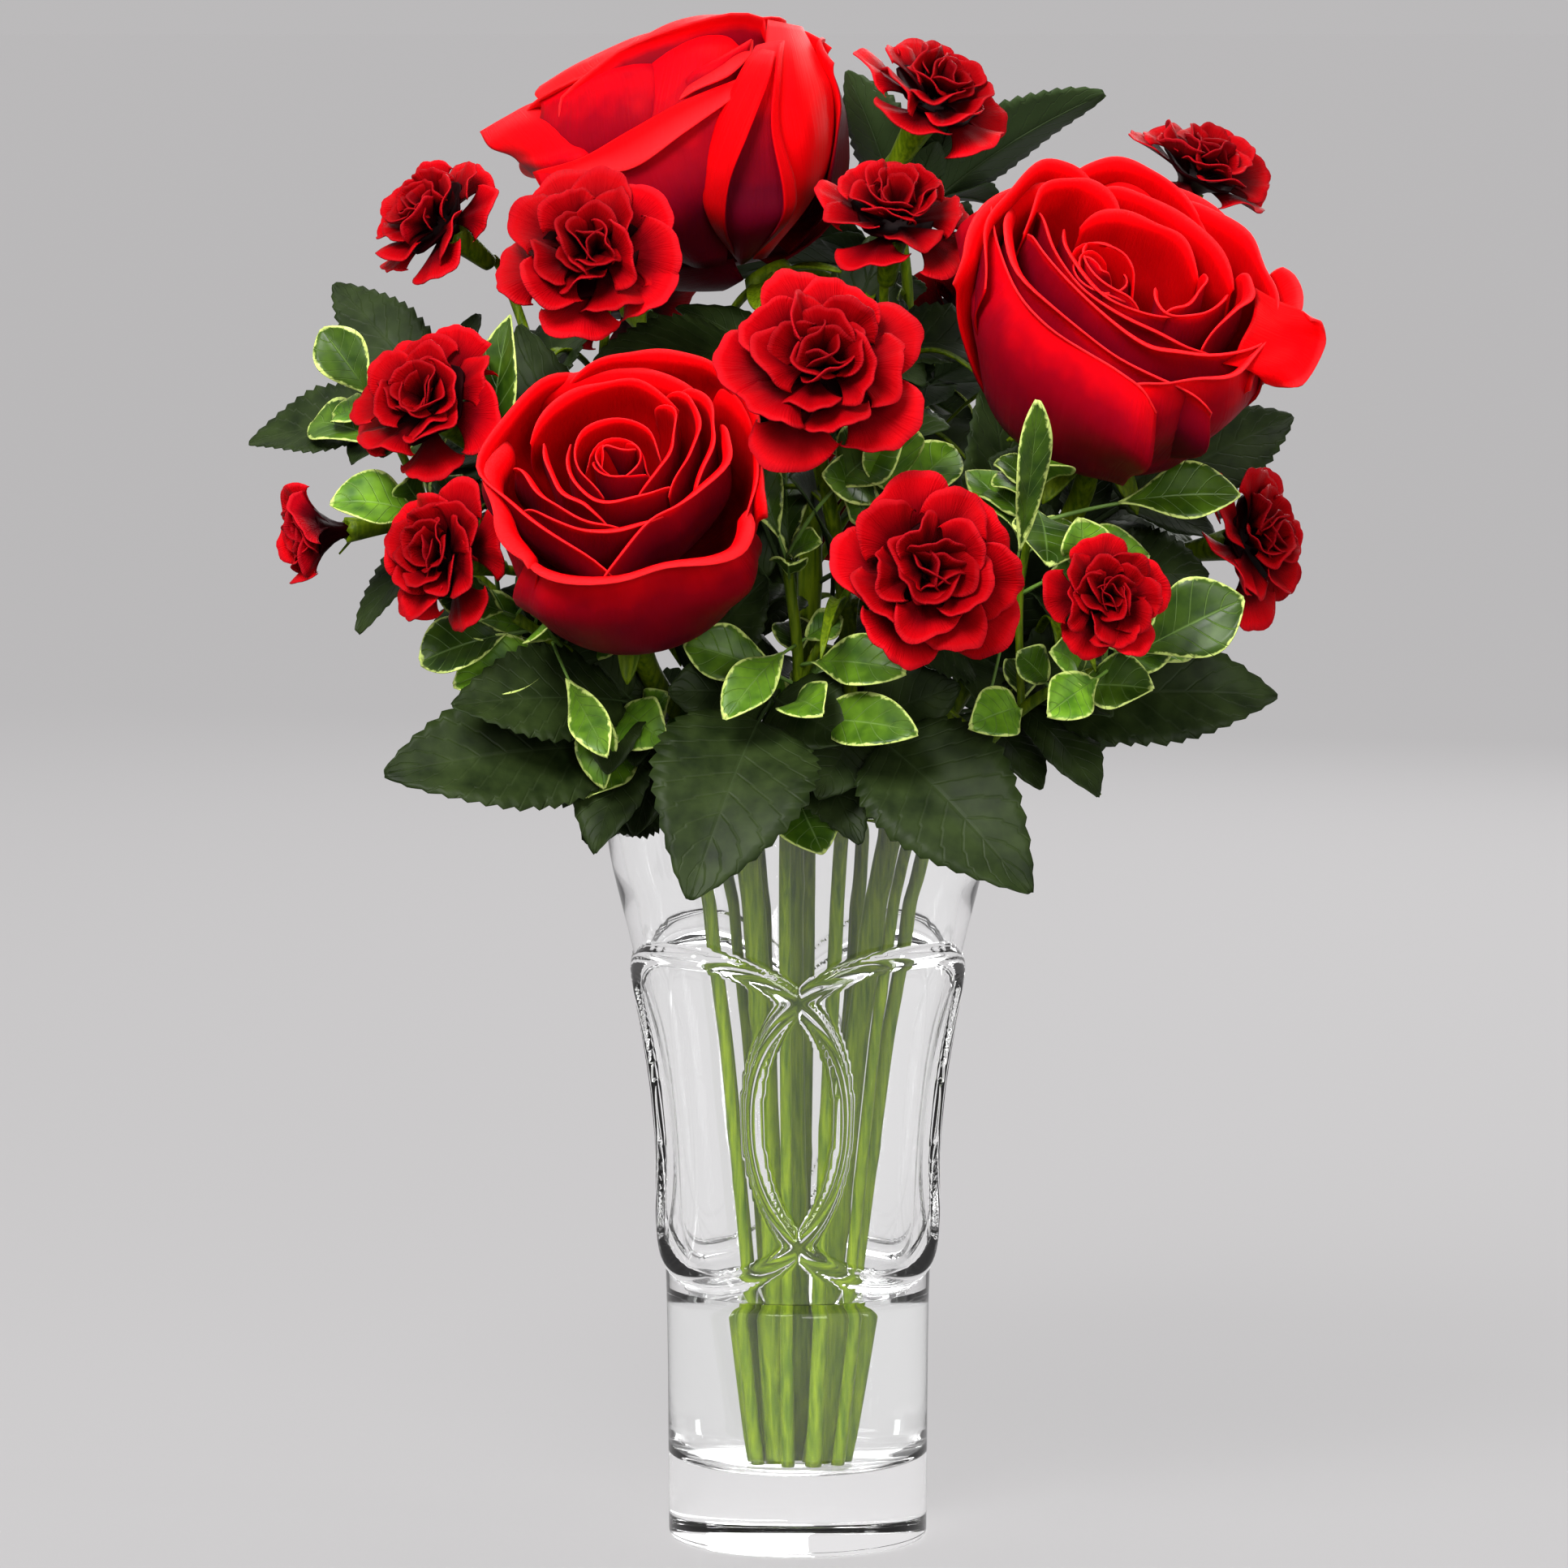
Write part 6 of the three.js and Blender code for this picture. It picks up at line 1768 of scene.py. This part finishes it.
# %% Leafy stems and sprigs
LEAFY_SEED = 40
LEAFY_JOINTS = [0.3, 0.5, 0.7]
for k, (name, plant) in enumerate(FOLIAGE.items()):
    draw = np.random.default_rng(LEAFY_SEED + k)
    line = main_line(plant, LEAFY_STEM, [])
    lines = [line]
    stalks = [stem_tube(line, LEAFY_STEM, 12, 80, LEAFY_JOINTS)]
    for on, through in plant["twigs"]:
        twig = [seat_on(line, on, STEM_STEPS)[1], *through]
        lines.append([seat_on(line, on, STEM_STEPS)[0], *through])
        stalks.append(stem_tube(twig, LEAFY_TWIG, 10, 40, []))
    kind = EDGED if plant["edged"] else DARK
    finish, slot = (edged_leaf, "edged_leaf") if plant["edged"] else (dark_leaf, "dark_leaf")
    make_piece(name + "_stalks", stalks, stem_green, "stem", name)
    make_piece(name + "_leaves", leaves_of(name, plant, lines, kind, draw), finish, slot, name)

# %% [markdown]
# ## Studio
# A wide pale floor, a soft lamp above and to the left, a weaker one beside the camera that
# lights the depths of the blooms, one above and one behind, and two tall thin ones at the
# sides, whose reflections draw the glass. Clear glass shows only what stands around it, so
# floor and sky are bright to rays that have gone through it, and a plain grey to the camera.

# %% What the camera sees, straight and through the glass
STUDIO_WHITE = (1, 0.98, 0.99, 1)
THROUGH_GLASS = 0.62
MIRRORED = 0.5


def off_glass(shader, path):
    """1 for a ray that has passed through glass, a half for one that bounced off it, and 0
    once the ray has left a matt surface."""
    fresh = maths(shader, "LESS_THAN", path.outputs["Diffuse Depth"], 0.5)
    bounced = maths(shader, "MULTIPLY", path.outputs["Is Reflection Ray"], MIRRORED)
    either = maths(shader, "ADD", path.outputs["Is Transmission Ray"], bounced)
    return maths(shader, "MULTIPLY", either, fresh)


def brightness(shader, straight):
    """One value where the camera looks straight at it, and another by way of the glass."""
    path = add(shader, "LightPath")
    return maths(shader, "ADD", maths(shader, "MULTIPLY", path.outputs["Is Camera Ray"], straight),
                 maths(shader, "MULTIPLY", off_glass(shader, path), THROUGH_GLASS))


print("brightness through the glass:", THROUGH_GLASS)

# %% Floor
FLOOR_HALF = 30.0
FLOOR_DROP = 0.0003
FLOOR_SEEN = 0.455
floor_mesh = bpy.data.meshes.new("floor")
floor_mesh.from_pydata(
    [(x * FLOOR_HALF, y * FLOOR_HALF, -FLOOR_DROP) for x, y in ((-1, -1), (1, -1), (1, 1), (-1, 1))],
    [], [(0, 1, 2, 3)])
floor = bpy.data.objects.new("floor", floor_mesh)
bpy.context.scene.collection.objects.link(floor)
floor_finish, shader = new_finish("pale_floor", Base_Color=(0.075, 0.0735, 0.0742, 1),
                                  Roughness=0.9, Specular_IOR_Level=0.1)
glow = add(shader, "Emission")
glow.inputs["Color"].default_value = STUDIO_WHITE
feed(shader, brightness(shader, FLOOR_SEEN), glow.inputs["Strength"])
both = add(shader, "AddShader")
feed(shader, shader.outputs[0], both.inputs[0])
feed(shader, glow.outputs[0], both.inputs[1])
feed(shader, both.outputs[0], surface_of(shader))
floor_mesh.materials.append(floor_finish)
print("floor:", 2 * FLOOR_HALF, "metres wide")

# %% Sky
SKY_SEEN, SKY_LIGHT = 0.3, 0.2
world = bpy.data.worlds.new("sky")
world.use_nodes = True
bpy.context.scene.world = world
sky = world.node_tree.nodes["Background"]
feed(sky, maths(sky, "ADD", brightness(sky, SKY_SEEN), SKY_LIGHT), sky.inputs["Strength"])
sky.inputs["Color"].default_value = STUDIO_WHITE
print("sky's light on the bunch:", SKY_LIGHT)

# %% Lamps
LAMPS = {
    "key_lamp": {"place": (-0.55, -1.3, 1.5), "width": 0.7, "height": 0.7, "power": 56.0},
    "fill_lamp": {"place": (0.6, -2.1, 0.75), "width": 1.0, "height": 1.0, "power": 26.0},
    "top_lamp": {"place": (0.2, 0.5, 1.9), "width": 1.0, "height": 1.0, "power": 12.0},
    "back_lamp": {"place": (0.5, 1.8, 1.0), "width": 1.4, "height": 1.4, "power": 24.0},
    "left_strip": {"place": (-1.3, -0.5, 0.3), "width": 0.1, "height": 1.0, "power": 5.0},
    "right_strip": {"place": (1.3, -0.5, 0.3), "width": 0.1, "height": 1.0, "power": 5.0},
}
BUNCH_CENTRE = Vector((0, 0, 0.25))


def soft_lamp(name, place, width, height, power):
    """A flat lamp that looks at the middle of the bunch."""
    data = bpy.data.lights.new(name, "AREA")
    data.shape, data.size, data.size_y, data.energy = "RECTANGLE", width, height, power
    lamp = bpy.data.objects.new(name, data)
    lamp.location = place
    lamp.rotation_euler = (BUNCH_CENTRE - Vector(place)).to_track_quat("-Z", "Y").to_euler()
    bpy.context.scene.collection.objects.link(lamp)


for name, lamp in LAMPS.items():
    soft_lamp(name, **lamp)
print("lamps:", len(LAMPS), "power:", sum(lamp["power"] for lamp in LAMPS.values()), "watts")
